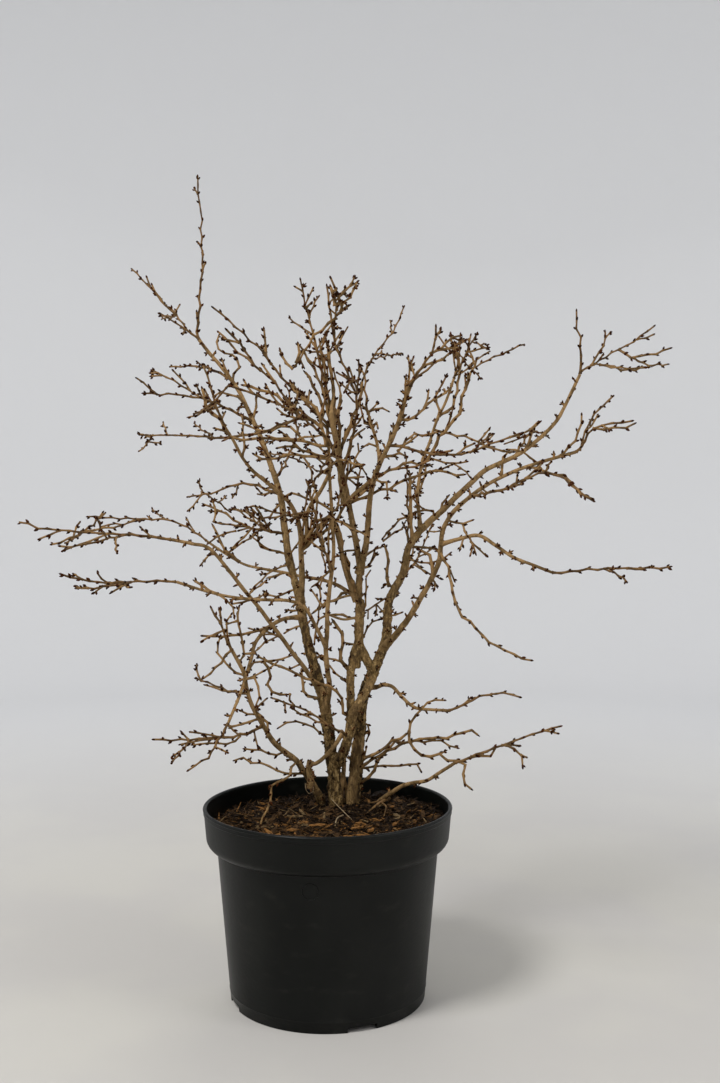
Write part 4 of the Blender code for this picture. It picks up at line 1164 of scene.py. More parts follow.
# %% List the twigs that are seen
SEEN_TWIGS = {
    "stem_middle": [
        (-5.4, 1.7, "345,718 342,712 343,703 341,696 332,688 314,681 300,676 290,670 276,665 264,660 256,655"),
        (-1.8, 2.3, "350,673 344,664 339,659 341,652 343,643 342,633 337,626 331,618"),
        (1.5, 1.3, "349,672 341,661 331,659 322,658 316,656"),
        (2.0, 1.2, "348,686 341,678 331,668 322,659 316,651"),
        (0.5, 1.8, "355,592 347,591 342,593 340,599 331,601 324,604 317,609 311,615"),
        (-1.0, 1.5, "355,618 347,618 342,614 338,613 331,615 320,618 316,622 317,631 314,638 315,646"),
        (-0.5, 1.4, "354,645 347,643 343,644"),
        (-0.5, 2.6, "356,592 351,580 347,567 342,553 341,538 337,526 331,517"),
        (0.5, 1.4, "353,570 349,561 343,553 337,547"),
        (-0.6, 1.2, "352,552 344,551 338,554"),
        (-0.5, 2.2, "352,534 346,524 339,521"),
        (2.5, 1.3, "355,652 361,641 367,629 374,621 382,619"),
        (5.0, 2.0, "349,502 358,494 368,485 379,476 388,471 395,469 403,464 411,462 417,463 421,467"),
        (-8, 1.7, "350,504 360,498 367,497 375,492 383,489 393,488 403,480 411,478 420,475 430,472 440,470 452,474"
                  " 460,475 467,474"),
        (0.5, 2.3, "340,456 343,442 347,431 353,417 358,406 361,393 361,381"),
        (1.5, 1.5, "349,478 353,468 355,460 358,452 358,442"),
        (1.0, 1.3, "355,460 362,467 367,476"),
        (-1.5, 1.3, "348,480 357,477 365,477"),
        (1.0, 1.3, "349,478 357,486 362,492"),
        (-1.2, 2.5, "343,474 337,452 335,432 334,414 334,398 333,384 331,372 329,360 329,350 327,340"),
        (1.6, 2.4, "344,478 341,462 339,444 340,428 338,412 341,399 340,392"),
        (-2.4, 2.0, "341,462 331,446 327,430 322,424 323,408 320,398 315,390 311,381 308,374 302,371"),
        (-3.4, 1.8, "334,430 329,418 326,404 323,391 319,381 316,373 311,364 306,356 302,349 297,342"),
        (2.2, 1.5, "347,470 350,455 352,440 358,433 366,428"),
        (0.4, 1.0, "363,621 365,608 366,596 366,585 366,577"),
        (0.5, 1.0, "364,576 368,573 372,570"),
        (0.8, 1.6, "365,568 370,566 373,559 375,554 379,555"),
        (0.8, 1.2, "342,396 340,388 337,381 334,375 334,368"),
    ],
    "bough_slim": [
        (-2.0, 1.5, "331,510 320,503 312,500 299,496 288,492 285,499"),
        (0.8, 1.4, "317,499 316,491 312,483"),
        (0.5, 1.3, "318,502 316,512 314,521 315,530"),
        (1.5, 1.3, "331,512 325,519 316,519 308,516"),
        (0.6, 1.1, "329,531 325,541 321,551 325,562 326,574"),
        (1.2, 1.4, "329,600 323,608 320,604 315,595 310,588"),
        (0.9, 1.3, "331,565 328,572 325,577 318,581 316,585 310,587"),
        (0.9, 1.2, "323,580 320,589 320,598 320,606 318,619"),
        (-3.5, 1.7, "327,446 316,446 306,441 296,441 284,440 272,439 258,438 246,440 236,439 228,434 222,430 212,428"),
        (-1.0, 1.5, "329,457 322,456 312,454 304,452 298,447 291,440 285,434 277,430"),
        (-2.0, 1.4, "304,452 296,447 289,446 281,447 275,449"),
        (-4.0, 1.6, "330,460 314,457 303,456 289,454 283,457 275,459 262,459 258,458 252,452"),
        (1.5, 1.3, "303,457 308,462 311,470 312,478 316,490"),
        (2.0, 2.0, "325,440 319,416 315,406 308,402 300,396 294,389 289,379"),
        (0.5, 1.4, "306,410 303,401 298,392 291,381"),
        (-2.0, 1.9, "324,428 312,420 300,411 287,405 275,394 262,391 250,386 240,385"),
        (-1.0, 1.2, "310,422 294,418 281,412 276,407"),
        (0.5, 1.3, "309,402 310,394 308,389"),
        (0.5, 1.5, "304,440 298,433 293,427 285,426 277,428 268,431 259,434"),
    ],
    "bough_inner_left": [
        (-4.0, 2.0, "303,551 312,541 319,534 325,531 332,529 337,519 342,510 349,501 359,496 370,487"),
        (-2.0, 2.3, "301,547 308,536 315,528 322,523 330,520 336,512"),
        (1.0, 1.2, "287,509 297,515 306,515"),
        (-0.5, 2.2, "226,427 220,418 213,413 207,408 205,401 203,393 202,389 205,387"),
        (0.5, 1.2, "222,420 221,415 224,413 228,413"),
        (1.0, 1.5, "247,455 245,447 244,438 243,427 242,418 241,412"),
        (0.3, 2.2, "266,485 263,479 262,474"),
        (-0.3, 1.3, "251,470 246,470"),
    ],
    "stem_left": [
        (2.0, 1.3, "291,590 281,595 273,597 266,592 262,592"),
        (1.0, 1.2, "299,627 288,630 284,635"),
        (-0.8, 1.3, "297,612 290,611 284,609"),
        (2.5, 1.6, "257,420 256,408 257,397 260,391"),
        (1.0, 1.5, "250,410 241,400 233,395 225,393 217,394 212,398"),
        (-1.0, 1.5, "231,379 225,367 221,357"),
        (1.5, 1.5, "234,382 235,372 239,366 237,357 233,354 225,354 219,351 217,341 220,333"),
        (-2.0, 1.4, "285,557 275,551 262,548 257,546 258,537 257,531"),
        (-2.0, 1.3, "280,504 277,507 273,512 268,518 258,520 253,527 250,531 247,536 240,539 236,544 230,551"),
        (-2.0, 1.1, "286,514 278,512 270,512 265,508 253,507 249,509 244,506"),
        (1.5, 1.0, "287,565 275,569 270,572 264,577 255,587 249,593"),
        (-2.5, 1.1, "288,563 290,555 297,544 303,539 308,534"),
        (0.5, 1.3, "264,450 259,448 256,450"),
        (1.0, 1.2, "257,425 265,428"),
        (-0.5, 1.9, "319,701 312,697 306,694 303,688 302,680 303,673 300,668"),
        (-2.0, 1.2, "326,737 320,733 314,728 307,724 300,723 290,721 284,725 276,729"),
    ],
    "bough_left_back": [
        (0.5, 1.8, "240,562 233,556 226,551 221,545 219,537 216,530 211,523"),
        (-0.5, 1.2, "212,551 207,558 202,564 198,565"),
        (1.0, 1.2, "229,552 238,545 246,541 251,537 257,531"),
    ],
    "twigs_left_mid_low": [
        (-1.0, 1.4, "250,529 246,526 238,522 230,517 222,511 213,508 207,507 202,502"),
        (-1.0, 1.1, "222,511 214,511 207,511"),
        (0.5, 1.2, "213,522 216,513 214,505 211,498"),
        (-0.5, 1.1, "232,530 222,534 213,540 206,545"),
        (1.0, 1.1, "257,523 250,514 241,510 233,511 229,507"),
        (-0.5, 1.1, "259,520 264,525 268,529"),
    ],
    "twigs_left_shoulder": [
        (-1.0, 1.2, "190,391 187,385 182,379 176,373 171,369"),
    ],
    "bough_left_low": [
        (-0.5, 1.3, "251,601 244,602 236,604 230,603"),
        (-1.0, 1.2, "283,637 274,634 262,631 247,628"),
        (-1.5, 1.1, "274,634 266,634 258,635"),
        (1.0, 1.1, "248,594 256,588 262,584 268,579"),
        (2.0, 1.2, "251,600 258,598 263,594 268,592"),
        (-0.8, 1.2, "300,664 296,666 290,669"),
    ],
    "bough_left_level": [
        (-1.0, 1.2, "218,591 225,600 231,604 233,612 235,620"),
        (0.8, 1.1, "248,593 240,598 234,601"),
    ],
    "bough_left_down": [
        (2.5, 1.1, "253,654 260,647 268,641 275,637 280,636"),
        (-1.5, 1.5, "252,654 244,655 242,643 241,632 237,621 239,612 239,604"),
        (-0.5, 1.4, "244,655 240,661 239,665"),
        (-1.0, 1.2, "237,621 230,623 225,625"),
        (0.6, 1.5, "248,672 252,664 256,662 266,661"),
        (1.5, 1.7, "264,661 269,668 270,676 268,685 271,691 276,695 283,695 290,694"),
        (0.8, 1.3, "264,661 274,661 284,658 293,655"),
        (2.5, 1.1, "249,679 258,674 267,669 279,661"),
        (-1.0, 1.5, "247,680 255,677 258,682 260,692 257,701 255,709"),
        (1.0, 1.2, "290,694 289,701 296,706"),
    ],
    "stem_low_left": [
        (1.2, 1.4, "244,676 236,673 229,667 224,661 220,657 217,650 218,641 222,634"),
        (1.8, 1.5, "231,650 226,656 223,661 214,669 207,677 201,678"),
        (-0.8, 1.2, "230,649 228,636 225,627 229,618 233,612"),
        (-1.0, 1.3, "222,629 215,635 207,637 200,643"),
        (1.5, 1.3, "256,709 262,704 268,697"),
        (-1.0, 1.2, "254,716 247,714 241,711 238,709"),
        (0.9, 1.7, "255,711 263,719 268,724 268,734"),
        (-2.5, 1.5, "256,720 245,723 237,726 229,726 223,724"),
        (1.0, 1.1, "229,726 240,736"),
        (-1.5, 1.1, "258,731 253,731 256,739 257,746 260,750"),
        (-2.0, 1.3, "282,757 275,756 268,753 260,750 250,749 242,749"),
        (-3.0, 1.3, "246,735 236,741 228,744 214,743 203,744 190,745"),
        (1.5, 1.4, "303,776 291,774 283,772 273,770 268,765 258,763 251,763 246,758 240,759 232,761"),
    ],
    "stem_right": [
        (0.8, 1.6, "438,511 441,506 450,494"),
        (0.5, 2.2, "411,543 411,525 411,508 410,492 410,478 409,470"),
        (0.6, 1.1, "367,720 370,727 368,735 366,743"),
        (-0.5, 1.4, "358,773 364,758 367,745"),
        (-1.5, 2.0, "362,757 368,756 380,752 390,742 399,739 409,732"),
        (-3.5, 1.8, "360,770 369,762 383,753 393,749 405,743 423,739 435,738 451,737 457,733 463,732 475,731 479,738"),
        (-1.0, 1.3, "416,747 423,743 431,740 440,741 450,745 460,749"),
        (-1.0, 1.9, "360,788 370,776 376,766 381,756 389,750 396,741 406,744"),
        (0.8, 1.4, "361,772 380,766 396,766 416,764 419,769 423,773"),
        (-2.5, 1.8, "409,732 411,745 421,756 440,755 450,761 460,762 466,766 464,773 464,783 467,787 474,790"),
        (1.2, 1.5, "409,732 411,721 417,714 422,708 426,702 447,700"),
        (1.5, 1.1, "386,592 383,599 378,604 373,606 369,609 368,614 368,620"),
        (1.0, 1.1, "386,617 383,613 380,608 376,605"),
        (1.2, 1.0, "376,606 376,612 375,617"),
        (0.8, 1.1, "388,586 385,584 382,583 383,590"),
        (3.0, 2.0, "391,586 387,580 387,572 388,563 388,557 386,550 384,543"),
        (-0.8, 1.0, "391,616 404,612"),
        (1.5, 1.7, "410,548 416,548 424,547 432,549 440,550"),
        (-0.6, 1.3, "410,557 417,563 421,570 428,574"),
        (1.4, 1.5, "425,518 437,511 427,511 417,510 408,517 397,520 393,529 384,534 383,541"),
        (2.0, 1.3, "383,541 391,535 400,530 406,521"),
    ],
    "twigs_low_right": [
        (-0.8, 1.6, "470,752 482,755 491,757 496,746"),
        (1.0, 1.3, "500,742 511,745 522,746"),
        (-1.2, 1.5, "503,743 512,748 521,755 523,770"),
        (0.8, 1.2, "521,755 528,758"),
    ],
    "bough_centre_right": [
        (2.5, 1.5, "366,558 371,551 377,549 384,546"),
        (-1.0, 1.4, "378,479 384,483 391,481"),
        (-0.5, 1.0, "387,483 388,490 387,497"),
        (0.0, 1.4, "387,496 383,499"),
        (0.0, 1.4, "387,496 391,499"),
        (0.0, 1.9, "396,434 392,427 396,423"),
        (0.2, 1.9, "398,432 401,427"),
        (0.8, 2.1, "391,444 390,437 391,430"),
        (1.5, 1.6, "388,459 394,456 398,451 404,456 409,457"),
        (6.0, 1.5, "398,451 404,444 409,437 417,434 425,437 432,433 440,432"),
        (6.0, 1.7, "404,421 412,419 419,414 424,408 430,403 437,397 444,394 451,387"),
        (0.3, 1.2, "424,407 427,401 429,395 428,388"),
    ],
    "bough_back": [
        (-1.0, 1.3, "375,448 370,444 360,449"),
        (1.0, 1.4, "370,412 377,409 383,407 390,413"),
        (-1.0, 1.4, "371,411 376,405 379,401"),
        (-2.0, 1.7, "370,414 366,409 360,404"),
        (1.0, 1.5, "372,426 366,424 362,414"),
        (-1.5, 1.5, "373,428 377,423 378,430"),
    ],
    "bough_right": [
        (1.0, 2.1, "433,575 433,568 430,558 426,552 418,550"),
        (-1.0, 1.4, "418,599 411,597"),
        (-1.5, 1.3, "449,520 456,523 463,524 469,521 475,520"),
        (-0.8, 1.2, "463,524 465,532 469,538"),
        (-1.5, 1.4, "553,458 562,455 575,440 580,428 582,412"),
        (-1.0, 1.5, "528,470 541,469 551,475 561,474 570,482 578,490 588,498 596,502"),
        (2.0, 1.4, "541,470 538,463 531,458 522,451 512,450 505,449"),
        (0.8, 1.5, "499,470 502,461 507,453 511,450"),
        (0.5, 1.1, "437,580 436,586 432,592"),
        (0.3, 1.0, "437,581 438,589"),
    ],
    "twigs_right_hanging": [
        (-9.5, 1.6, "440,551 443,558 447,565 450,570 450,578 451,586 453,593 454,600 458,606 459,612 461,617 468,620"
                    " 474,626 479,630 484,636 489,641 494,646 503,648 509,653 518,656 528,660 534,660"),
        (0.3, 1.1, "450,569 452,573 453,578 456,583"),
    ],
    "bough_right_level": [
        (-1.0, 1.3, "470,539 473,548 477,556"),
        (0.8, 1.2, "472,540 479,548 488,558"),
        (-0.5, 1.2, "464,541 461,548 457,550"),
    ],
    "bough_right_up": [
        (-3.0, 1.5, "438,431 450,434 459,436 468,437 478,442 486,446 496,447"),
        (-1.0, 1.2, "478,441 483,436 487,430 492,428"),
        (1.0, 1.0, "481,444 488,440 493,437 493,432"),
        (-2.0, 1.2, "425,452 440,452 454,450"),
        (-3.0, 1.3, "428,458 440,461 452,463 461,463 469,461"),
        (-4.0, 1.3, "419,475 433,471 446,467 456,463"),
        (1.0, 1.0, "454,464 463,469 468,474 471,479"),
        (1.0, 1.3, "421,468 428,466 434,464"),
        (-1.5, 2.1, "422,464 431,455 437,443 441,432 445,434 451,424 455,418 460,414 461,404 462,394 467,387 469,378"
                    " 467,371"),
        (1.5, 1.4, "469,380 472,370 475,363 478,357"),
        (1.5, 1.8, "446,418 452,408 455,397 458,386 459,375 460,365 458,357 455,350"),
        (-1.0, 1.3, "470,362 470,350 469,340 472,333"),
        (0.8, 1.7, "443,423 440,414 438,406 435,398 437,390"),
    ],
    "twigs_crown_centre": [
        (3.0, 1.6, "335,317 330,322 325,328 317,333 312,338 308,346 303,354 298,361 293,369"),
        (-1.0, 1.3, "337,311 339,303 339,297 342,293"),
        (-0.5, 2.1, "336,306 334,298 332,290 329,284"),
        (0.2, 1.6, "333,293 337,287"),
        (1.0, 1.3, "338,313 344,309 350,305"),
        (1.5, 1.4, "339,310 343,303 350,298 353,291 354,286 359,281"),
        (-1.0, 1.3, "350,379 346,375 341,372"),
        (1.0, 1.2, "351,381 347,388 343,394"),
        (0.5, 1.5, "292,372 287,365 283,358 281,351 277,349"),
        (0.5, 1.9, "297,363 299,356 299,348 297,341"),
        (0.2, 1.2, "301,358 303,365 304,370"),
    ],
    "twigs_upper_left": [
        (0.3, 1.5, "268,366 267,358 266,350 265,340 264,332 264,326"),
        (0.2, 1.4, "266,352 263,348 261,344"),
    ],
    "twigs_low_left": [
        (-0.5, 1.3, "220,624 217,618 213,612 210,605"),
        (0.3, 1.2, "220,616 221,611 219,606"),
    ],
    "twigs_low_left_droop": [
        (-7.0, 1.5, "297,763 292,766 290,775 285,779 277,782 271,787 272,795 270,804 266,811 262,822 259,827"),
    ],
    "twigs_crown_left": [
        (0.3, 1.5, "308,307 313,301"),
        (-0.3, 1.5, "307,311 303,307"),
    ],
    "twigs_crown_front": [
        (1.0, 1.5, "424,367 433,363 443,359 446,355 452,352"),
        (2.0, 1.5, "431,354 438,350 446,349 454,348 461,347"),
        (1.0, 1.4, "441,349 445,343 448,338 455,337 463,335"),
        (0.5, 1.2, "415,380 413,372 412,365 410,359"),
        (0.5, 1.1, "411,386 407,381 404,378"),
    ],
    "twigs_far_right": [
        (1.0, 1.4, "590,366 596,357 603,346 607,336 612,331"),
        (-3.5, 1.6, "620,353 628,356 634,358 645,354 650,355 660,352 666,349 673,348"),
        (5.5, 1.4, "634,358 638,361 645,363 651,366 655,364 662,365 669,364"),
        (3.0, 1.5, "600,363 610,366 620,369 632,370 642,368 651,367"),
        (0.5, 1.1, "638,342 645,339 652,336 654,332"),
    ],
    "twigs_right": [
        (0.6, 1.2, "592,429 600,430 611,428 621,428 630,426 637,422"),
    ],
    "twigs_right_mid": [
        (-1.5, 1.2, "458,455 463,448 470,446 476,442"),
    ],
}
SEEN_TIP_SHARE = 0.75
SEEN_FREE_LENGTH = 0.02
SEEN_LEANS = (0, 0.01, -0.01, 0.02, -0.02, 0.03, -0.03, 0.045, -0.045)
print("listed:", sum(len(rows) for rows in SEEN_TWIGS.values()), "twigs")

# %% [markdown]
# A seen twig is only moved in depth, never across the frame: where it would run through a limb, other leans are
# tried in turn.

# %% Grow the twigs that are seen
stout = Grown()
for name, path in limb_paths.items():
    stout.add(path, owners[name])
carriers = {name: smooth_way(path.points, 0.003) for name, path in limb_paths.items()}
for name, kept in kept_paths.items():
    mass_ways = [point for path, _ in kept for point in smooth_way(path.points, 0.003)]
    carriers[name] = mass_ways or list(carriers[MASSES[name].parent])


def seen_way(root, places, lean):
    """The points of a seen twig: its foot, then its corners, leaning evenly from the foot's depth."""
    steps = [(after - before).length for before, after in zip(places, places[1:])]
    way = [root]
    for number, place in enumerate(places[1:], 1):
        way.append(placed(place, root.y + lean * sum(steps[:number]) / sum(steps)))
    return way


def seen_twig(home, lean, thickness, text):
    """One seen twig as a shoot, carried by the nearest point of its home."""
    places = places_in(text)
    root = min(carriers[home], key=lambda point: (seen(point) - places[0]).length)
    carrier = [owners[home], owners.get(MASSES[home].parent) if home in MASSES else owners[home]]
    foot = thickness / 1000
    radii = list(np.linspace(foot, max(SLIMMEST, SEEN_TIP_SHARE * foot), len(places)))
    ways = [seen_way(root, places, lean / 100 + more) for more in SEEN_LEANS]
    way = next((way for way in ways if stout.clear(Path(way, radii), carrier, SEEN_FREE_LENGTH)), ways[0])
    carriers[home] += smooth_way(way, 0.003)
    return noded(way, radii, home, 2)


seen_shoots = [seen_twig(home, *row) for home, rows in SEEN_TWIGS.items() for row in rows]
print("seen twigs:", len(seen_shoots), "with", round(sum(distances(shoot.points)[-1] for shoot in seen_shoots), 1), "m")

# %% [markdown]
# The crown has an edge. Beyond it there is only sky, and so there is at some places inside it, each given here as
# a round hole: its middle and its radius. A twig that the rule grows out there ends at the last node before it,
# with its bud.

# %% Mark the edge of the crown
CROWN_EDGE = places_in(
    "190,168 205,168 208,300 240,318 272,320 284,312 292,274 306,272 322,290 327,277 340,280 356,276 364,281 356,306"
    " 352,320 352,352 366,352 378,338 400,299 410,301 400,328 390,344 408,349 402,360 385,366 372,376 370,398 396,412"
    " 402,398 398,375 406,355 414,355 424,360 432,326 442,327 447,333 466,330 478,326 492,343 528,342 529,352 502,360"
    " 486,382 470,396 466,412 458,428 490,424 498,434 522,429 545,418 556,436 570,396 570,304 584,304 585,362"
    " 600,350 608,329 617,331 608,350 652,321 665,323 678,346 674,370 640,371 602,367 586,380 566,424 588,410"
    " 618,387 622,395 604,414 640,416 640,427 602,438 590,450 574,466 602,500 594,507 560,482 532,478 496,500"
    " 470,508 480,516 496,533 514,552 556,568 606,562 680,561 680,572 600,577 550,578 506,564 492,562 478,562 460,550"
    " 452,560 460,580 462,602 484,628 508,644 540,660 536,667 500,654 474,638 450,612 444,590 430,600 410,630"
    " 396,660 376,690 374,736 408,724 416,704 430,697 450,697 458,704 464,697 490,688 526,694 524,704 494,700 466,708 450,720"
    " 420,716 416,728 450,732 478,726 484,742 464,754 440,746 424,760 452,756 470,748 500,738 536,728 564,722 568,731"
    " 530,742 530,762 526,774 514,772 512,756 496,760 476,758 472,786 480,794 466,798 440,784 400,800 380,816 300,816"
    " 270,832 254,830 264,796 252,770 228,768 220,752 190,752 150,764 146,736 190,728 216,728 216,718 232,700 196,684"
    " 196,640 206,608 200,602 130,592 58,594 54,566 120,568 190,578 220,576 190,560 100,556 56,556 8,528 12,514"
    " 96,508 150,506 180,512 196,500 180,490 196,478 220,486 236,470 220,440 190,446 140,452 132,440 128,384"
    " 136,372 172,374 190,360 166,328 150,310 124,268 134,260 196,320"
)
SKY_PLACES = places_in(
    "257,331,8 252,350,8 278,337,9 275,357,6 258,382,6 272,423,8 286,466,12 318,471,6 300,428,6 236,428,5 323,317,6"
    " 414,350,8 379,373,9 379,392,9 354,355,9 427,420,10 456,428,6 445,440,6 416,446,5 476,462,8 388,425,9"
    " 386,512,13 376,527,9 384,563,8 399,563,6 410,591,10 468,630,7 608,345,7 622,346,6 622,360,7 650,344,9"
    " 664,346,7 498,346,6 497,362,6 481,462,7 257,580,5 297,697,6 202,616,8 420,390,9 412,412,6 550,443,6"
    " 540,446,4 236,455,8 243,465,5 250,445,5 299,380,7 250,578,6 240,580,6 311,575,6 311,595,6 335,363,4 361,357,6"
)
print("edge of the crown:", len(CROWN_EDGE), "corners; sky places:", len(SKY_PLACES))


def in_crown(point):
    """Whether a point is seen in the crown: a line to its right crosses the edge an odd number of times."""
    place = seen(point)
    if any((sky.to_2d() - place).length < sky.z for sky in SKY_PLACES):
        return False
    crossings = 0
    for start, end in zip(CROWN_EDGE, CROWN_EDGE[1:] + CROWN_EDGE[:1]):
        if (start.y > place.y) != (end.y > place.y):
            crossings += place.x < start.x + (place.y - start.y) / (end.y - start.y) * (end.x - start.x)
    return crossings % 2 == 1


def kept_in_crown(shoot):
    """A shoot up to its last node inside the crown's edge, or None where nothing of it is left."""
    inside = [in_crown(point) for point in shoot.points]
    keep = inside[1:].index(False) + 1 if False in inside[1:] else len(inside)
    return shoot._replace(points=shoot.points[:keep], radii=shoot.radii[:keep]) if keep > 1 else None


frame_shoots = [shoot if shoot.order == 1 else kept_in_crown(shoot) for shoot in shoots]
shoots = [shoot for shoot in frame_shoots if shoot] + seen_shoots
print("shoots in the crown:", len(shoots))

# %% [markdown]
# ## Finer twigs
# The frame stops at the side twigs. The real crown goes on where old wood keeps branching: in its middle, and in
# the low fans on both sides. The outer shoots are bare rods with nothing but buds. So each full place of the crown
# is named with its reach, and the chance of a finer shoot falls off away from it. The same rule of turned nodes is
# used again with shorter lengths.

# %% Grow the finer twigs
FULL_PLACES = [
    ((0.035, 0.04, 0.63), (0.15, 0.20, 0.14), 1.0),
    ((-0.11, 0.04, 0.55), (0.12, 0.20, 0.11), 0.4),
    ((-0.10, 0.00, 0.31), (0.10, 0.16, 0.09), 0.15),
    ((0.12, 0.00, 0.29), (0.11, 0.16, 0.07), 0.1),
    ((0.155, 0.05, 0.615), (0.09, 0.20, 0.07), 0.3),
]
FINE_CHANCE = 0.15
FINE_LENGTH = (0.018, 0.062)
FINER_CHANCE = 0.28
FINER_LENGTH = (0.010, 0.030)
FINE_ANGLE = (math.radians(24), math.radians(52))
FINE_SWAY = 0.16
FINE_UPWARD = 0.12
FINE_SHARE = 0.82
EDGE_MARGIN = 0.004
lowest_corner = cad_box[0] + Vector((EDGE_MARGIN,) * 3)
highest_corner = cad_box[1] - Vector((EDGE_MARGIN,) * 3)


def fullness(place):
    """How full the crown is at a place, from 0 to 1."""
    best = 0
    for middle, size, weight in FULL_PLACES:
        reach = sum(((place[axis] - middle[axis]) / size[axis]) ** 2 for axis in range(3))
        best = max(best, weight * math.exp(-0.8 * reach))
    return best


def inside_box(points):
    return all(lowest_corner[axis] < point[axis] < highest_corner[axis] for point in points for axis in range(3))


def fine_shoot(start, ahead, turn, length, radius, home, order, carrier):
    """A fine shoot from a node, or None where it would leave the box or run into a limb."""
    angle = LIFE.uniform(*FINE_ANGLE)
    direction = ahead * math.cos(angle) + across(ahead, turn) * math.sin(angle)
    pieces = max(1, round(length / NODE_SPACING))
    points = [start]
    for _ in range(pieces):
        sway = Vector(LIFE.uniform(-FINE_SWAY, FINE_SWAY) for _ in range(3))
        direction = (direction + sway + Vector((0, 0, FINE_UPWARD))).normalized()
        points.append(points[-1] + direction * length / pieces)
    foot = max(SLIMMEST, radius * FINE_SHARE)
    radii = [foot + (SLIMMEST - foot) * number / pieces for number in range(pieces + 1)]
    shoot = kept_in_crown(Shoot(points, radii, home, order, LIFE.uniform(0, math.tau)))
    if not shoot or not inside_box(shoot.points):
        return None
    if not stout.clear(Path(shoot.points, shoot.radii), carrier, 3 * radius + SIDE_FREE_LENGTH):
        return None
    return shoot


def fine_shoots(shoot, chance, lengths):
    """Fine shoots at the nodes of a shoot, longest near its foot."""
    made = []
    last = len(shoot.points) - 1
    carrier = [owners.get(MASSES[shoot.home].parent if shoot.home in MASSES else shoot.home)]
    for at in range(1, last):
        wanted = LIFE.random() < chance * fullness(shoot.points[at])
        length = LIFE.uniform(*lengths) * (1 - 0.4 * at / last)
        if not wanted:
            continue
        turn = shoot.turn + at * NODE_TURN
        ahead = heading(shoot.points, at)
        made.append(fine_shoot(
            shoot.points[at], ahead, turn, length, shoot.radii[at], shoot.home, shoot.order + 1, carrier,
        ))
    return [fine for fine in made if fine]


third = [fine for shoot in list(shoots) for fine in fine_shoots(shoot, FINE_CHANCE, FINE_LENGTH)]
fourth = [fine for shoot in third for fine in fine_shoots(shoot, FINER_CHANCE, FINER_LENGTH)]
print("finer shoots:", len(third), "and finer still:", len(fourth))

# %% [markdown]
# ## Shoots and spurs on the limbs
# Old limbs aren't bare either. Long thin shoots rise from the nodes of the boughs in the full places, and all limbs
# carry stubby spurs with a few dark buds. They start inside the bark, so that they look grown and not glued on.

# %% Grow shoots and spurs on the limbs
LIMB_NODE = 0.0085
SPUR_LENGTH = (0.0015, 0.0055)
SPUR_RADIUS = 0.0012
SPUR_CHANCE = 0.8
BOUGH_SHOOT_LENGTH = (0.03, 0.11)
BOUGH_SHOOT_CHANCE = 0.12
BOUGH_SHOOT_RADIUS = 0.0020
BARE_HEIGHT = 0.30
SPUR = 5


def limb_shoots(name, path):
    """Shoots and spurs at the nodes of a limb: spurs everywhere, shoots where it is full and high enough."""
    made = []
    smooth = smooth_way(path.points, LIMB_NODE)
    along, coarse = distances(smooth), distances(path.points)
    turn = LIFE.uniform(0, math.tau)
    for at in range(2, len(smooth) - 1):
        turn += NODE_TURN
        place, ahead = smooth[at], heading(smooth, at)
        radius = at_distance(coarse, path.radii, along[at] * coarse[-1] / along[-1])
        side = across(ahead, turn)
        luck = LIFE.random()
        if place.z > BARE_HEIGHT and luck < BOUGH_SHOOT_CHANCE * fullness(place):
            length = LIFE.uniform(*BOUGH_SHOOT_LENGTH)
            shoot = fine_shoot(place, ahead, turn, length, BOUGH_SHOOT_RADIUS, name, 2, [owners[name]])
            if shoot:
                made.append(shoot)
        elif luck < SPUR_CHANCE:
            direction = (side + LIFE.uniform(0.2, 0.8) * ahead).normalized()
            tip = place + direction * (LIFE.uniform(*SPUR_LENGTH) + radius)
            made.append(Shoot([place, tip], [SPUR_RADIUS * 1.3, SPUR_RADIUS], name, SPUR, turn))
    return made


def twig_spurs(shoot):
    """Short knobbly spurs at some nodes of a shoot, most in the full places."""
    made = []
    for at in range(1, len(shoot.points) - 1):
        if LIFE.random() < 0.06 + 0.16 * fullness(shoot.points[at]):
            ahead = heading(shoot.points, at)
            direction = (across(ahead, shoot.turn + at * NODE_TURN) + LIFE.uniform(0.4, 1.2) * ahead).normalized()
            tip = shoot.points[at] + direction * (LIFE.uniform(0.002, 0.007) + shoot.radii[at])
            radius = min(SPUR_RADIUS, shoot.radii[at])
            made.append(Shoot([shoot.points[at], tip], [radius * 1.1, radius], shoot.home, SPUR, shoot.turn + at))
    return made


on_limbs = [shoot for name, path in limb_paths.items() for shoot in limb_shoots(name, path)]
on_shoots = [fine for shoot in on_limbs if shoot.order < SPUR for fine in fine_shoots(shoot, FINE_CHANCE, FINE_LENGTH)]
long_shoots = shoots + third + fourth + [shoot for shoot in on_limbs if shoot.order < SPUR] + on_shoots
spurs = [shoot for shoot in on_limbs if shoot.order == SPUR]
spurs += [spur for shoot in long_shoots for spur in twig_spurs(shoot)]
all_shoots = long_shoots + spurs
length = sum(distances(shoot.points)[-1] for shoot in all_shoots)
print("on the limbs:", len(on_limbs), "and", len(on_shoots), "side shoots;", len(spurs), "spurs")
print("all twigs, end to end:", round(length, 1), "m")

# %% [markdown]
# ## Twigs as meshes
# A twig is a tapering tube with a ring at each node and one between, and the node's ring is a little fatter. Rings
# are circles that bridging joins up. One small mesh per twig stays quick to work on, and at the end the small
# meshes of a part of the crown are laid end to end in one array, because thousands of objects would be slow.

# %% Make a tube of rings
TWIG_SIDES = 6
NODE_SWELLING = 1.18
CUSHION = 0.3
WAIST = 0.93
FOOT_SWELLING = 1.5


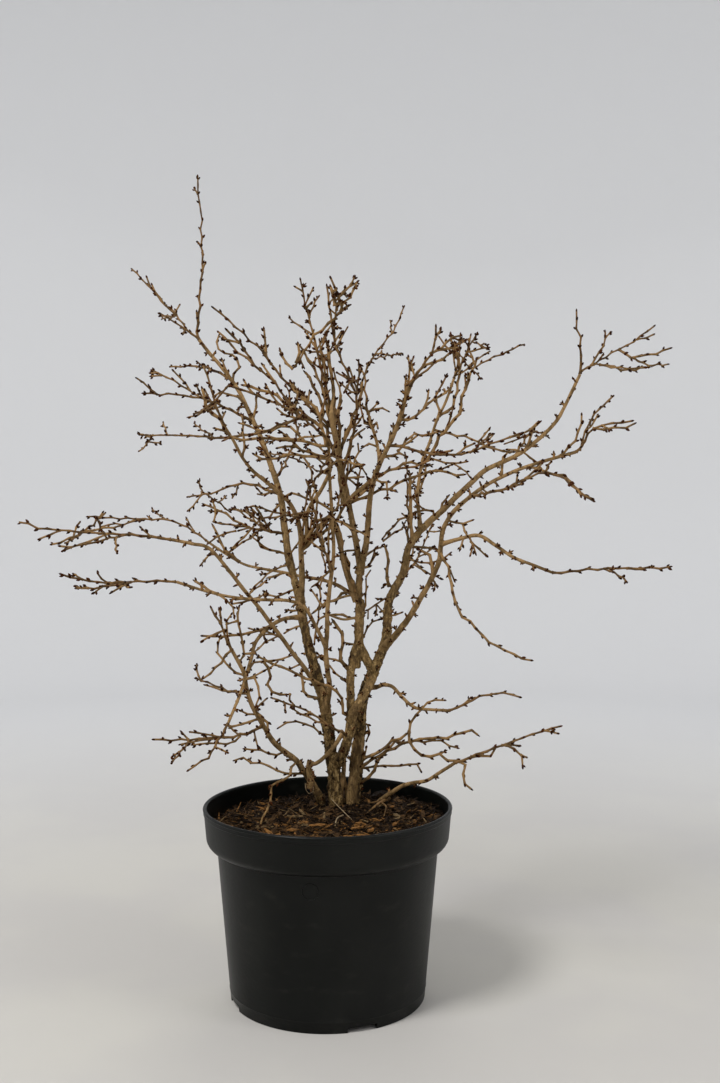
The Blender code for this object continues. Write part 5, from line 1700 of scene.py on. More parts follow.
def rings_along(bm, points, radii, sides, spin=0.0):
    """Circles along a way, each turned no more than the way turns, bridged one to the next, and capped."""
    ahead = heading(points, 0)
    turn = ahead.to_track_quat("Z", "Y")
    before = None
    for at, (point, radius) in enumerate(zip(points, radii)):
        turn = ahead.rotation_difference(heading(points, at)) @ turn
        ahead = heading(points, at)
        place = Matrix.LocRotScale(point, turn, Vector((radius, radius, radius)))
        place = place @ Matrix.Rotation(spin, 4, "Z")
        verts = bmesh.ops.create_circle(bm, segments=sides, radius=1, matrix=place)["verts"]
        ring = list({edge for vert in verts for edge in vert.link_edges})
        if at in (0, len(points) - 1):
            bm.faces.new(verts)
        if before:
            bmesh.ops.bridge_loops(bm, edges=before + ring)
        before = ring


class Patch(NamedTuple):
    """A small mesh as arrays: its points, the corners of all its faces in a row, and how many each face has."""

    points: np.ndarray
    corners: np.ndarray
    counts: np.ndarray


def patch_of(bm):
    """Takes a finished bmesh as arrays, with its faces pointing outwards, and frees it."""
    bmesh.ops.recalc_face_normals(bm, faces=bm.faces)
    bm.verts.index_update()
    points = np.array([vert.co[:] for vert in bm.verts])
    corners = np.array([vert.index for face in bm.faces for vert in face.verts])
    counts = np.array([len(face.verts) for face in bm.faces])
    bm.free()
    return Patch(points, corners, counts)


def twig_patch(shoot):
    """One shoot as a tube. Each node swells towards its bud, into the cushion that the bud sits on."""
    points, radii = [], []
    last = len(shoot.points) - 1
    for at in range(last):
        start, end = shoot.points[at], shoot.points[at + 1]
        radius = shoot.radii[at]
        if at:
            side = across(heading(shoot.points, at), shoot.turn + at * NODE_TURN)
            points.append(start + side * radius * CUSHION)
            radii.append(radius * NODE_SWELLING)
        else:
            points += [start, start.lerp(end, 0.22)]
            radii += [radius * FOOT_SWELLING, radius * 1.08]
        points.append(start.lerp(end, 0.5))
        radii.append((radius + shoot.radii[at + 1]) / 2 * WAIST)
    points.append(shoot.points[-1])
    radii.append(shoot.radii[-1])
    bm = bmesh.new()
    rings_along(bm, points, radii, TWIG_SIDES)
    return patch_of(bm)


def laid_together(name, patches, materials, kinds=None):
    """One object of many patches laid end to end in arrays, each with the number of its material."""
    sizes = [len(patch.points) for patch in patches]
    starts = np.concatenate([[0], np.cumsum(sizes)[:-1]]).astype(int)
    points = np.concatenate([patch.points for patch in patches])
    corners = np.concatenate([patch.corners + start for patch, start in zip(patches, starts)])
    counts = np.concatenate([patch.counts for patch in patches])
    mesh = bpy.data.meshes.new(name)
    mesh.vertices.add(len(points))
    mesh.vertices.foreach_set("co", points.astype(np.float32).ravel())
    mesh.loops.add(len(corners))
    mesh.loops.foreach_set("vertex_index", corners.astype(np.int32))
    mesh.polygons.add(len(counts))
    loop_starts = np.concatenate([[0], np.cumsum(counts)[:-1]])
    mesh.polygons.foreach_set("loop_start", loop_starts.astype(np.int32))
    for material in materials:
        mesh.materials.append(material)
    if kinds is not None:
        faces = np.repeat(kinds, [len(patch.counts) for patch in patches])
        mesh.polygons.foreach_set("material_index", faces.astype(np.int32))
    mesh.update(calc_edges=True)
    mesh.shade_smooth()
    obj = bpy.data.objects.new(name, mesh)
    bpy.context.scene.collection.objects.link(obj)
    return obj


def triangles(obj):
    return sum(len(face.vertices) - 2 for face in obj.data.polygons)


print("tubes ready")

# %% [markdown]
# ## Twig bark
# The bark of the last two or three years is smooth and thin. It is tan on the shoots that the light reaches,
# greyer on the older ones, and a little redder on the newest. Three finishes are dealt out, one kind to each order
# of branching, with dark specks and a soft mottle on each.

# %% Make the twig finishes
def twig_finish(name, colour, shade):
    darker = tuple(value * shade for value in colour)
    return surface(
        name, colour,
        [
            Layer(darker, 90, 0.42, 0.62, detail=3),
            Layer(tuple(value * 0.45 for value in colour), 520, 0.6, 0.72, detail=2, strength=0.8),
        ],
        (0.6, 0.8), Bumps(0.0002, 800), specular=0.12,
    )


grey_tan = twig_finish("twig_grey_tan", (0.196, 0.109, 0.041), 0.38)
light_tan = twig_finish("twig_light_tan", (0.270, 0.158, 0.061), 0.40)
new_brown = twig_finish("twig_new_brown", (0.237, 0.122, 0.044), 0.40)
print("finishes:", grey_tan.name, light_tan.name, new_brown.name)

# %% [markdown]
# ## The parts of the crown
# The crown is one plant, but it is easier to handle in parts. Each part takes the place of the masses that grew it
# and also has the shoots that stand on the limbs there.

# %% Lay the twigs together
CROWN_PARTS = {
    "upper_left": [
        "twigs_top_left", "twigs_upper_left_side", "twigs_left_shoulder", "twigs_left_side", "twigs_left_inner",
        "twigs_inner_left", "twigs_front_left", "twigs_upper_left", "twigs_back_left",
    ],
    "middle": [
        "twigs_front", "twigs_crown_left", "twigs_crown_centre", "twigs_crown_front", "twigs_crown_back",
        "twigs_right_mid", "twigs_inner_right", "twigs_inner_middle",
    ],
    "right": [
        "twigs_far_right", "twigs_right_over", "twigs_right", "twigs_right_under", "twigs_right_level",
        "twigs_right_hanging", "twigs_crown_right",
    ],
    "left": [
        "twigs_far_left", "twigs_left_back", "twigs_left_level", "twigs_left_mid", "twigs_left_mid_low",
        "twigs_left_down",
    ],
    "low": [
        "twigs_low_left", "twigs_low_left_back", "twigs_low_left_side", "twigs_low_left_fan",
        "twigs_low_left_droop", "twigs_between", "twigs_low_right", "twigs_low_right_level",
        "twigs_low_right_fan", "twigs_back",
    ],
}
LIMB_PARTS = {
    "stem_left": "upper_left", "bough_inner_left": "upper_left", "bough_slim": "upper_left",
    "stem_middle": "middle", "bough_centre_right": "middle", "bough_back": "middle",
    "stem_right": "right", "bough_right": "right", "bough_right_up": "right", "bough_right_level": "right",
    "bough_left_low": "left", "bough_left_back": "left", "bough_left_level": "left", "bough_left_down": "left",
    "stem_cross": "low", "stem_low_left": "low", "stem_low_right": "low", "bough_low_right": "low",
}
part_of = {mass: part for part, members in CROWN_PARTS.items() for mass in members} | LIMB_PARTS
total = 0
for part, members in CROWN_PARTS.items():
    mine = [shoot for shoot in all_shoots if part_of[shoot.home] == part]
    patches = [twig_patch(shoot) for shoot in mine]
    kinds = [min(2, max(0, shoot.order - 1)) for shoot in mine]
    twigs = laid_together("twigs_of_" + part, patches, [grey_tan, light_tan, new_brown], kinds)
    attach(twigs, "root")
    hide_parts(*members)
    total += triangles(twigs)
    print(twigs.name, len(mine), "twigs,", triangles(twigs), "triangles")

# %% [markdown]
# ## Buds
# In winter every node holds a bud: a pointed egg of dark red-brown scales, 3 to 4 mm long, leaning forward along
# the shoot. Flower buds crowd in twos to fours at tips and on spurs. All are one small turned shape, so one
# template is spun and then laid down thousands of times with arrays of places, turns and sizes.

# %% Turn one bud
BUD_STEPS = 6
BUD_OUTLINE = [(0, -0.12), (0.34, -0.06), (0.5, 0.2), (0.52, 0.42), (0.4, 0.66), (0.17, 0.88), (0, 1)]


def bud_template():
    return patch_of(spun(BUD_OUTLINE, BUD_STEPS))


def turned_to(direction, spin):
    """The 3 by 3 matrix that turns +Z to a direction, after a turn about +Z itself."""
    return (direction.to_track_quat("Z", "Y").to_matrix() @ Matrix.Rotation(spin, 3, "Z"))


BUD = bud_template()
print("bud:", len(BUD.points), "points,", int((BUD.counts - 2).sum()), "triangles")

# %% [markdown]
# A place for a bud is worked out on each shoot: at every node on alternate sides, and in a cluster at the tip. A
# bud that stands where a side shoot leaves is simply hidden by it.

# %% Find the buds' places
BUD_LENGTHS = (0.0037, 0.0051)
BUD_WIDTH = (0.52, 0.66)
BUD_LEAN = (math.radians(26), math.radians(50))
BUD_CHANCE = 0.94
PAIR_CHANCE = 0.22
TIP_CLUSTER = (0, 2)
SPUR_CLUSTER = (1, 3)
SPUR_BUD_SIZE = 0.82


class Bud(NamedTuple):
    """Where a bud's foot is, the way it points, its length, and its width as a share of that."""

    place: Vector
    direction: Vector
    length: float
    width: float


def bud_at(place, ahead, turn, radius, size=1.0):
    """A bud that leaves its twig's side and leans forward."""
    lean = LIFE.uniform(*BUD_LEAN)
    side = across(ahead, turn)
    direction = ahead * math.cos(lean) + side * math.sin(lean)
    return Bud(place + side * radius * 0.9, direction, size * LIFE.uniform(*BUD_LENGTHS), LIFE.uniform(*BUD_WIDTH))


def buds_of(shoot):
    """The buds of a shoot: one at most nodes, at times two side by side, and a cluster at the tip."""
    made = []
    last = len(shoot.points) - 1
    size = SPUR_BUD_SIZE if shoot.order == SPUR else 1
    for at in range(1, last):
        ahead = heading(shoot.points, at)
        for number in range(2 if LIFE.random() < PAIR_CHANCE else 1):
            if LIFE.random() < BUD_CHANCE:
                turn = shoot.turn + at * NODE_TURN + 1.1 * number
                made.append(bud_at(shoot.points[at], ahead, turn, shoot.radii[at]))
    ahead = heading(shoot.points, last)
    tip = shoot.points[-1]
    made.append(Bud(tip - ahead * 0.0004, ahead, size * BUD_ROOM * 1.05, LIFE.uniform(*BUD_WIDTH)))
    cluster = LIFE.randint(*(SPUR_CLUSTER if shoot.order == SPUR else TIP_CLUSTER))
    turn = LIFE.uniform(0, math.tau)
    for _ in range(cluster):
        turn += math.radians(LIFE.uniform(90, 150))
        place = tip - ahead * LIFE.uniform(0.0008, 0.0028)
        made.append(bud_at(place, ahead, turn, shoot.radii[-1], size * LIFE.uniform(0.75, 1)))
    return [bud for bud in made if in_cad_box(bud.place + bud.direction * bud.length)]


def in_cad_box(point):
    """Whether a bud's end stays within the size of the real plant."""
    return all(cad_box[0][axis] + 0.0005 < point[axis] < cad_box[1][axis] - 0.0005 for axis in range(3))


buds = {part: [] for part in CROWN_PARTS}
for shoot in all_shoots:
    buds[part_of[shoot.home]] += buds_of(shoot)
print("buds:", sum(len(found) for found in buds.values()))

# %% [markdown]
# The scales overlap like tiles, dark brown with a redder edge where the light catches them. Fine rings across the
# bud, from a mask that is squeezed along its height, would turn with each bud, so a speckle stands for them.

# %% Finish and lay the buds
bud_brown = surface(
    "bud_brown", (0.022, 0.0065, 0.0013), [Layer((0.048, 0.015, 0.0035), 300, 0.45, 0.65)],
    (0.6, 0.8), Bumps(0.0001, 900), specular=0.05,
)
bud_red = surface(
    "bud_red", (0.062, 0.018, 0.0045), [Layer((0.024, 0.007, 0.0014), 300, 0.45, 0.65)],
    (0.6, 0.8), Bumps(0.0001, 900), specular=0.05,
)


def laid_out(template, places, turns, sizes):
    """Copies of a template as one patch: each turned, sized along its own axes, and moved to its place."""
    shapes = template.points[None] * np.array(sizes)[:, None]
    points = np.einsum("nij,npj->npi", np.array(turns), shapes) + np.array(places)[:, None]
    offsets = np.arange(len(places)) * len(template.points)
    corners = (template.corners[None] + offsets[:, None]).ravel()
    return Patch(points.reshape(-1, 3), corners, np.tile(template.counts, len(places)))


bud_kinds = np.random.default_rng(11)
for part, found in buds.items():
    red = bud_kinds.random(len(found)) < 0.4
    patches = []
    for wanted in (False, True):
        chosen = [bud for bud, is_red in zip(found, red) if is_red == wanted]
        patches.append(laid_out(
            BUD, [bud.place for bud in chosen],
            [turned_to(bud.direction, LIFE.uniform(0, math.tau)) for bud in chosen],
            [(bud.length * bud.width, bud.length * bud.width, bud.length) for bud in chosen],
        ))
    piece = laid_together("buds_of_" + part, patches, [bud_brown, bud_red], [0, 1])
    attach(piece, "root")
    total += triangles(piece)
    print(piece.name, len(found), "buds,", triangles(piece), "triangles")

# %% [markdown]
# ## Bark with relief
# The stems and boughs are one living body: a bough leaves its stem through a swollen collar, and knots stand where
# old shoots were lost. Round tubes with swollen feet are laid into each other, and a voxel remesh fuses them into
# one skin that has no seams at the forks.

# %% Fuse the limbs
BARK_STEP = 0.003
BARK_SIDES = 18
ROUND_SHARE = 0.98
COLLAR_SWELLING = 0.45
COLLAR_REACH = 0.008
COLLAR_STUB = 0.016
BARK_VOXEL = 0.00095
STEMS = ("stem_left", "stem_middle", "stem_right", "stem_cross")
LINKS = {
    "link_low": (
        [(1.6, 3.3, 28.5), (0.7, 2.9, 27.1), (-0.4, 2.6, 25.9),
         (-1.4, 2.3, 25.2), (-2.3, 2.1, 25.1)],
        2.6, 2.3,
    ),
    "link_knot": (
        [(3.7, 5.5, 42.8), (3.5, 5.6, 38.8), (3.9, 5.7, 37.4),
         (4.6, 5.8, 36.0), (5.4, 6.0, 34.6)],
        4.4, 5.2,
    ),
    "link_middle": ([(2.9, 5.5, 44.1), (1.5, 5.0, 43.8), (0.2, 3.6, 43.4)], 1.6, 1.5),
    "link_lower": ([(3.1, 5.5, 41.4), (1.6, 4.6, 41.3), (-0.1, 3.4, 42.0)], 1.6, 1.5),
    "dead_stub": ([(-2.1, 2.2, 25.6), (-2.2, 2.1, 24.5), (-2.0, 2.0, 23.5), (-2.2, 2.2, 22.4)], 3.0, 4.0),
    "foot_left": (
        [(0.6, 4.6, 25.4), (0.7, 4.5, 23.7), (0.8, 4.4, 21.9),
         (0.8, 4.4, 20.5), (0.7, 4.4, 19.1)],
        5.0, 8.6,
    ),
    "foot_between": ([(1.7, 5.0, 24.1), (1.9, 5.3, 22.0), (2.1, 5.6, 19.5)], 1.3, 1.8),
    "foot_middle": (
        [(2.2, 4.3, 28.0), (1.8, 4.6, 26.0), (1.7, 4.9, 23.6),
         (1.4, 5.0, 21.5), (1.3, 5.0, 19.7)],
        2.4, 2.8,
    ),
    "foot_right": ([(3.5, 5.4, 27.3), (3.1, 5.0, 24.4), (2.5, 4.8, 21.6), (2.4, 4.7, 19.5)], 4.0, 4.4),
    "trunk_fill": ([(3.6, 5.5, 43.5), (3.5, 5.5, 40.6), (3.3, 5.5, 37.7), (3.1, 5.5, 35.6)], 5.5, 5.0),
    "dark_limb": (
        [(3.0, 5.5, 43.2), (2.4, 5.6, 45.1), (1.7, 5.4, 47.5), (1.3, 5.0, 49.6),
         (0.9, 4.2, 51.3), (0.5, 3.2, 52.9)],
        2.8, 2.3,
    ),
    "inner_fork": (
        [(-3.0, 5.0, 49.7), (-2.3, 4.6, 50.4), (-1.6, 4.1, 51.2), (-1.0, 3.6, 51.9),
         (-0.2, 3.1, 52.5), (0.5, 2.6, 53.3)],
        2.2, 1.9,
    ),
    "inner_limb": (
        [(-3.0, 5.0, 49.7), (-2.5, 4.4, 51.3), (-2.5, 4.0, 53.1), (-1.9, 3.6, 54.6),
         (-1.0, 3.2, 55.8), (-0.0, 2.6, 57.7), (0.4, 2.0, 59.2)],
        2.7, 2.2,
    ),
    "crown_knot": (
        [(1.9, 4.4, 54.3), (1.5, 4.3, 57.2), (1.2, 4.0, 59.5), (1.0, 3.6, 61.2),
         (0.6, 3.3, 62.9), (0.3, 3.0, 64.9)],
        4.6, 3.0,
    ),
    "crown_cross": (
        [(2.1, 4.4, 54.6), (3.0, 4.0, 55.6), (3.9, 3.5, 56.3), (4.8, 3.0, 57.0),
         (5.5, 2.7, 57.5)],
        3.2, 3.0,
    ),
    "crown_tail": ([(0.5, 3.2, 63.6), (0.35, 3.1, 65.2), (0.55, 3.4, 66.5), (0.57, 3.55, 67.8)], 3.4, 1.2),
}


def limb_patch(path, grown_from, share=1.0, length=None):
    """A limb as a fine round tube, swollen where it leaves its parent, with a slow seeded unevenness."""
    smooth = smooth_way(path.points, BARK_STEP)
    along, coarse = distances(smooth), distances(path.points)
    scale = coarse[-1] / along[-1]
    radii = []
    for point, distance in zip(smooth, along):
        radius = at_distance(coarse, path.radii, distance * scale) * ROUND_SHARE * share
        radius *= 1 + 0.08 * noise.noise(point * 70)
        if grown_from:
            radius *= 1 + COLLAR_SWELLING * math.exp(-distance / COLLAR_REACH)
        radii.append(radius)
    if length:
        keep = max(3, sum(distance < length for distance in along))
        smooth, radii = smooth[:keep], radii[:keep]
    bm = bmesh.new()
    rings_along(bm, smooth, radii, BARK_SIDES)
    return patch_of(bm)


def link_path(way, first, last):
    """A short limb that only the bark has: its way in centimetres, its radii in millimetres."""
    points = smooth_way([metres(place) for place in way], 0.006)
    return Path(points, [(first + (last - first) * at / (len(points) - 1)) / 1000 for at in range(len(points))])


def with_modifiers_applied(obj):
    """Replaces an object's mesh with what its modifiers make of it."""
    graph = bpy.context.evaluated_depsgraph_get()
    made = bpy.data.meshes.new_from_object(obj.evaluated_get(graph))
    obj.modifiers.clear()
    obj.data = made
    return obj


def fused(name, patches):
    """One skin of many overlapping tubes."""
    obj = laid_together(name, patches, [])
    remesh = obj.modifiers.new("fuse", "REMESH")
    remesh.mode = "VOXEL"
    remesh.voxel_size = BARK_VOXEL
    with_modifiers_applied(obj)
    print(name, triangles(obj), "triangles")
    return obj


link_paths = {name: link_path(*link) for name, link in LINKS.items()}
bough_names = [name for name in LIMBS if name not in STEMS]
on_stems = [name for name in bough_names if LIMBS[name].parent in STEMS]
stem_patches = [limb_patch(limb_paths[name], LIMBS[name].parent) for name in STEMS]
stem_patches += [limb_patch(path, None) for path in link_paths.values()]
stem_patches += [limb_patch(limb_paths[name], True, 1.1, COLLAR_STUB) for name in on_stems]
stem_bark = fused("bark_of_stems", stem_patches)
bough_bark = fused("bark_of_boughs", [limb_patch(limb_paths[name], LIMBS[name].parent) for name in bough_names])

# %% [markdown]
# Old bark has lengthwise furrows, short raised pores that lie across the stem, and a bump under every dead bud. Each
# point of the skin looks up where it is on its limb: how far along, how far round, how thick. Noise that is
# stretched along the limb gives the furrows, and noise stretched round it the pores. Thin young wood stays smooth.

# %% Press the relief into the bark
FURROW_DEPTH = 0.22
FLAKE_DEPTH = 0.20
PORE_DEPTH = 0.09
LUMP_DEPTH = 0.22
OLD_RADIUS = 0.0058
YOUNG_RADIUS = 0.0022


def limb_samples():
    """Points close together along all limbs, with the distance along, the heading and the radius at each."""
    places, along_limb, radii, headings = [], [], [], []
    for number, path in enumerate([*limb_paths.values(), *link_paths.values()]):
        smooth = smooth_way(path.points, 0.002)
        along, coarse = distances(smooth), distances(path.points)
        for at, (point, distance) in enumerate(zip(smooth, along)):
            places.append(point)
            along_limb.append(distance + number)
            radii.append(at_distance(coarse, path.radii, distance * coarse[-1] / along[-1]))
            headings.append(heading(smooth, at))
    return places, along_limb, radii, headings


places, along_limb, sample_radii, headings = limb_samples()
finder = kdtree.KDTree(len(places))
for number, place in enumerate(places):
    finder.insert(place, number)
finder.balance()


def relief(point, normal):
    """A point of the skin moved in or out by the bark's relief, and the bark's age there."""
    _, nearest, _ = finder.find(point)
    radius, distance = sample_radii[nearest], along_limb[nearest]
    out = point - places[nearest]
    out -= headings[nearest] * out.dot(headings[nearest])
    out.normalize()
    age = min(1, max(0, (radius - YOUNG_RADIUS) / (OLD_RADIUS - YOUNG_RADIUS)))
    furrows = noise.noise(out * 2.6 + Vector((0, 0, distance * 45)))
    flakes = noise.noise(out * 4.5 + Vector((5, 0, distance * 210)))
    pores = noise.noise(out * 1.4 + Vector((0, 7, distance * 420)))
    lumps = noise.noise(out * 0.9 + Vector((3, 0, distance * 120)))
    depth = age * (FURROW_DEPTH * furrows + FLAKE_DEPTH * flakes)
    depth += PORE_DEPTH * pores * (0.4 + 0.6 * age) + LUMP_DEPTH * max(0, lumps) * (0.4 + 0.6 * age)
    return point + normal * radius * depth, age


def press_relief(obj):
    """Moves every point of a skin by the relief, and keeps the ages for the finish."""
    found = [relief(vert.co, vert.normal) for vert in obj.data.vertices]
    points = np.array([point[:] for point, _ in found], np.float32)
    obj.data.vertices.foreach_set("co", points.ravel())
    age_layer = obj.data.attributes.new("age", "FLOAT", "POINT")
    age_layer.data.foreach_set("value", np.array([age for _, age in found], np.float32))
    obj.data.update()
    obj.data.shade_smooth()


for skin in (stem_bark, bough_bark):
    press_relief(skin)
    print("relief pressed into", len(skin.data.vertices), "points of", skin.name)

# %% [markdown]
# A stub that broke off long ago, where the lowest link meets the low stem, is wrapped in old scales. Scales have the
# shape of a bud, so the bud's template stands all over the stub.

# %% Wrap the stub in scales
STUB_SCALES = 60
SCALE_LENGTHS = (0.003, 0.006)


def scales_on(path, count):
    """Scales at random places round a path, lying close to it and pointing along it either way."""
    places, turns, sizes = [], [], []
    for number in range(count):
        at = number % (len(path.points) - 1)
        ahead = heading(path.points, at)
        side = across(ahead, LIFE.uniform(0, math.tau))
        start = path.points[at].lerp(path.points[at + 1], LIFE.random())
        direction = (side * LIFE.uniform(0.3, 1) + ahead * LIFE.uniform(-1, 1)).normalized()
        length = LIFE.uniform(*SCALE_LENGTHS)
        places.append(start + side * path.radii[at] * LIFE.uniform(0.3, 0.9))
        turns.append(turned_to(direction, LIFE.uniform(0, math.tau)))
        sizes.append((length * 0.6, length * 0.3, length))
    return laid_out(BUD, places, turns, sizes)


stub_brown = surface(
    "stub_brown", (0.15, 0.066, 0.028), [Layer((0.05, 0.021, 0.009), 260, 0.42, 0.6)],
    (0.7, 0.9), Bumps(0.0003, 700), specular=0.08,
)
stub_scales = laid_together("stub_scales", [scales_on(link_paths["dead_stub"], STUB_SCALES)], [stub_brown])
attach(stub_scales, "root")
total += triangles(stub_scales)
print("scales:", STUB_SCALES)

# %% [markdown]
# Young bark is tan and old bark a mottled olive brown, so the bark's colour follows the age that each point was
# given. Both are painted in layers: lichen-pale streaks, dark furrows, and specks of pores.

# %% Finish the bark
def aged_bark():
    """Young and old bark in one finish, mixed by the age of each point."""
    material = bpy.data.materials.new("stem_bark")
    material.use_nodes = True
    tree = material.node_tree
    shader = tree.nodes["Principled BSDF"]
    shader.inputs["Specular IOR Level"].default_value = 0.1
    young = layered(tree, (0.33, 0.205, 0.088), [
        Layer((0.16, 0.098, 0.040), 110, 0.42, 0.62, (1, 1, 0.5)),
        Layer((0.05, 0.028, 0.014), 420, 0.6, 0.7, (1, 1, 1.5), strength=0.9),
    ])
    old = layered(tree, (0.158, 0.098, 0.036), [
        Layer((0.36, 0.24, 0.100), 330, 0.50, 0.62, (1, 1, 0.4)),
        Layer((0.050, 0.030, 0.012), 200, 0.48, 0.60, (1, 1, 0.5)),
        Layer((0.018, 0.011, 0.006), 560, 0.56, 0.65, (1, 1, 0.8), strength=0.9),
    ])
    age = new_node(tree, "ShaderNodeAttribute", {"attribute_name": "age"})
    tree.links.new(mixed(tree, age.outputs["Fac"], young, old), shader.inputs["Base Color"])
    shader.inputs["Roughness"].default_value = 0.78
    bumpy(tree, shader, Bumps(0.0011, 480, (1, 1, 0.6)))
    return material


stem_finish = aged_bark()
for skin, limbs in ((stem_bark, STEMS), (bough_bark, bough_names)):
    skin.data.materials.append(stem_finish)
    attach(skin, "root")
    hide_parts(*limbs)
    total += triangles(skin)
print("bark finished")

# %% [markdown]
# ## The nursery pot
# The pot is a thin shell blown or moulded in black plastic: a body that widens upward, a quarter-round shoulder, a
# deep collar with a rolled rim, and a raised channel under the floor that drains through four holes and four
# notches. It is turned from one profile with many steps, and the notches are cut out of it.

# %% Turn the pot
POT_HEIGHT = 0.212
RIM_RADIUS = 0.138
COLLAR_HEIGHT = 0.044
COLLAR_FOOT_RADIUS = 0.1345
SHOULDER_SIZE = 0.012
FOOT_RADIUS = 0.1078
WALL = 0.002
RIM_BEAD = 0.002
EDGE = 0.001
FLOOR = 0.0025
CHANNEL_HEIGHT = 0.006
CHANNEL_INNER_RADIUS = 0.084
CHANNEL_OUTER_RADIUS = 0.103
NOTCH_COUNT = 4
NOTCH_WIDTH = 0.032
NOTCH_DEPTH = 0.014
NOTCH_LINTEL = 0.0003
FIRST_NOTCH_ANGLE = math.radians(-69)
DRAIN_HOLE_RADIUS = 0.004
POT_STEPS = 176
MOULD_LINE = 0.0004


def wall_radius(height):
    """The outer radius of the pot's sloping body at a height."""
    collar_foot = POT_HEIGHT - COLLAR_HEIGHT
    top = COLLAR_FOOT_RADIUS - SHOULDER_SIZE
    return FOOT_RADIUS + (top - FOOT_RADIUS) * height / collar_foot


def shoulder(inset, steps=8):
    """The quarter round by which the body widens into the collar."""
    foot = POT_HEIGHT - COLLAR_HEIGHT
    middle = (COLLAR_FOOT_RADIUS - SHOULDER_SIZE - inset, foot + SHOULDER_SIZE + inset)
    return list(arc(middle, SHOULDER_SIZE, -90, 0, steps))


def inner_profile(inset, top_height, top_radius):
    """The inside of the pot from the floor's middle to a height, moved in by an inset."""
    roof = CHANNEL_HEIGHT + FLOOR + inset
    return [
        (0, FLOOR + inset),
        (CHANNEL_INNER_RADIUS - FLOOR - inset, FLOOR + inset),
        (CHANNEL_INNER_RADIUS - FLOOR - inset, roof),
        (wall_radius(roof) - WALL - inset, roof),
        *shoulder(WALL + inset),
        (top_radius, top_height),
    ]


def pot_profile():
    """The whole section of the shell: up the outside, over the rolled rim, and down the inside."""
    collar = [
        (COLLAR_FOOT_RADIUS + 0.0004, POT_HEIGHT - COLLAR_HEIGHT + SHOULDER_SIZE + 0.004),
        (RIM_RADIUS - 0.0013, POT_HEIGHT - 0.0075),
        (RIM_RADIUS - 0.0006, POT_HEIGHT - 0.0068),
    ]
    bead = list(arc((RIM_RADIUS - 0.0011, POT_HEIGHT - 0.0022), 0.0011, -60, 0, 3))
    bead += list(arc((RIM_RADIUS - 0.0022, POT_HEIGHT - 0.0022), 0.0022, 10, 170, 7))
    outside = [
        (0, 0),
        (CHANNEL_INNER_RADIUS, 0),
        (CHANNEL_INNER_RADIUS, CHANNEL_HEIGHT),
        (CHANNEL_OUTER_RADIUS, CHANNEL_HEIGHT),
        (CHANNEL_OUTER_RADIUS, 0),
        *arc((FOOT_RADIUS - EDGE, EDGE), EDGE, -90, 0, 4),
        (wall_radius(0.012), 0.012),
        (wall_radius(0.0125) + MOULD_LINE, 0.0128),
        (wall_radius(0.014), 0.0138),
        *shoulder(0),
        *collar,
        *bead,
    ]
    inside = inner_profile(0, POT_HEIGHT - 0.004, RIM_RADIUS - WALL - 0.0022)
    return outside + inside[::-1]


pot = linked("nursery_pot", spun(pot_profile(), POT_STEPS))
notches = bmesh.new()
for number in range(NOTCH_COUNT):
    place = Matrix.Rotation(FIRST_NOTCH_ANGLE + math.tau * number / NOTCH_COUNT, 4, "Z")
    in_wall = (CHANNEL_OUTER_RADIUS + FOOT_RADIUS) / 2
    size = Matrix.Diagonal((NOTCH_DEPTH, NOTCH_WIDTH, 2 * CHANNEL_HEIGHT, 1))
    bmesh.ops.create_cube(notches, size=1, matrix=place @ Matrix.Translation((in_wall, 0, -NOTCH_LINTEL)) @ size)
    in_channel = (CHANNEL_INNER_RADIUS + CHANNEL_OUTER_RADIUS) / 2
    bmesh.ops.create_cone(
        notches, cap_ends=True, segments=20, radius1=DRAIN_HOLE_RADIUS, radius2=DRAIN_HOLE_RADIUS,
        depth=4 * FLOOR, matrix=place @ Matrix.Translation((in_channel, 0, CHANNEL_HEIGHT)),
    )
cutter = linked("notch_cutter", notches)
cut = pot.modifiers.new("notches", "BOOLEAN")
cut.operation = "DIFFERENCE"
cut.solver = "EXACT"
cut.object = cutter
with_modifiers_applied(pot)
bpy.data.objects.remove(cutter)
pot.data.shade_smooth()
pot.data.set_sharp_from_angle(angle=math.radians(38))
print("pot:", triangles(pot), "triangles")

# %% [markdown]
# A plain ring as wide as a coin stands proud of the wall by a fraction of a millimetre, where such pots often have
# one. A thin torus, half sunk in the slope of the wall, is all it takes. It stays empty inside.

# %% Add the moulded ring
RING_TURN = math.radians(-97)
RING_HEIGHT = 0.1516
RING_RADIUS = 0.0085
RING_THICKNESS = 0.0005


def small_torus(radius, thickness, place, steps=48, sides=8):
    """A ring of round section: a circle spun round the Z axis, then put in its place."""
    bm = bmesh.new()
    section = Matrix.Translation((radius, 0, 0)) @ Matrix.Rotation(math.radians(90), 4, "X")
    start = bmesh.ops.create_circle(bm, segments=sides, radius=thickness, matrix=section)["verts"]
    edges = list({edge for vert in start for edge in vert.link_edges})
    bmesh.ops.spin(
        bm, geom=start + edges, axis=(0, 0, 1), cent=(0, 0, 0), angle=math.tau,
        steps=steps, use_merge=True, use_duplicate=False,
    )
    bmesh.ops.transform(bm, matrix=place, verts=bm.verts)
    bmesh.ops.recalc_face_normals(bm, faces=bm.faces)
    return bm


wall_slope = math.atan((wall_radius(1) - wall_radius(0)) / 1)
place = Matrix.Rotation(RING_TURN, 4, "Z") @ Matrix.Translation((wall_radius(RING_HEIGHT), 0, RING_HEIGHT))
place = place @ Matrix.Rotation(math.radians(90) + wall_slope, 4, "Y")
ring = linked("moulded_ring", small_torus(RING_RADIUS, RING_THICKNESS, place))
ring.data.shade_smooth()
print("ring:", triangles(ring), "triangles")

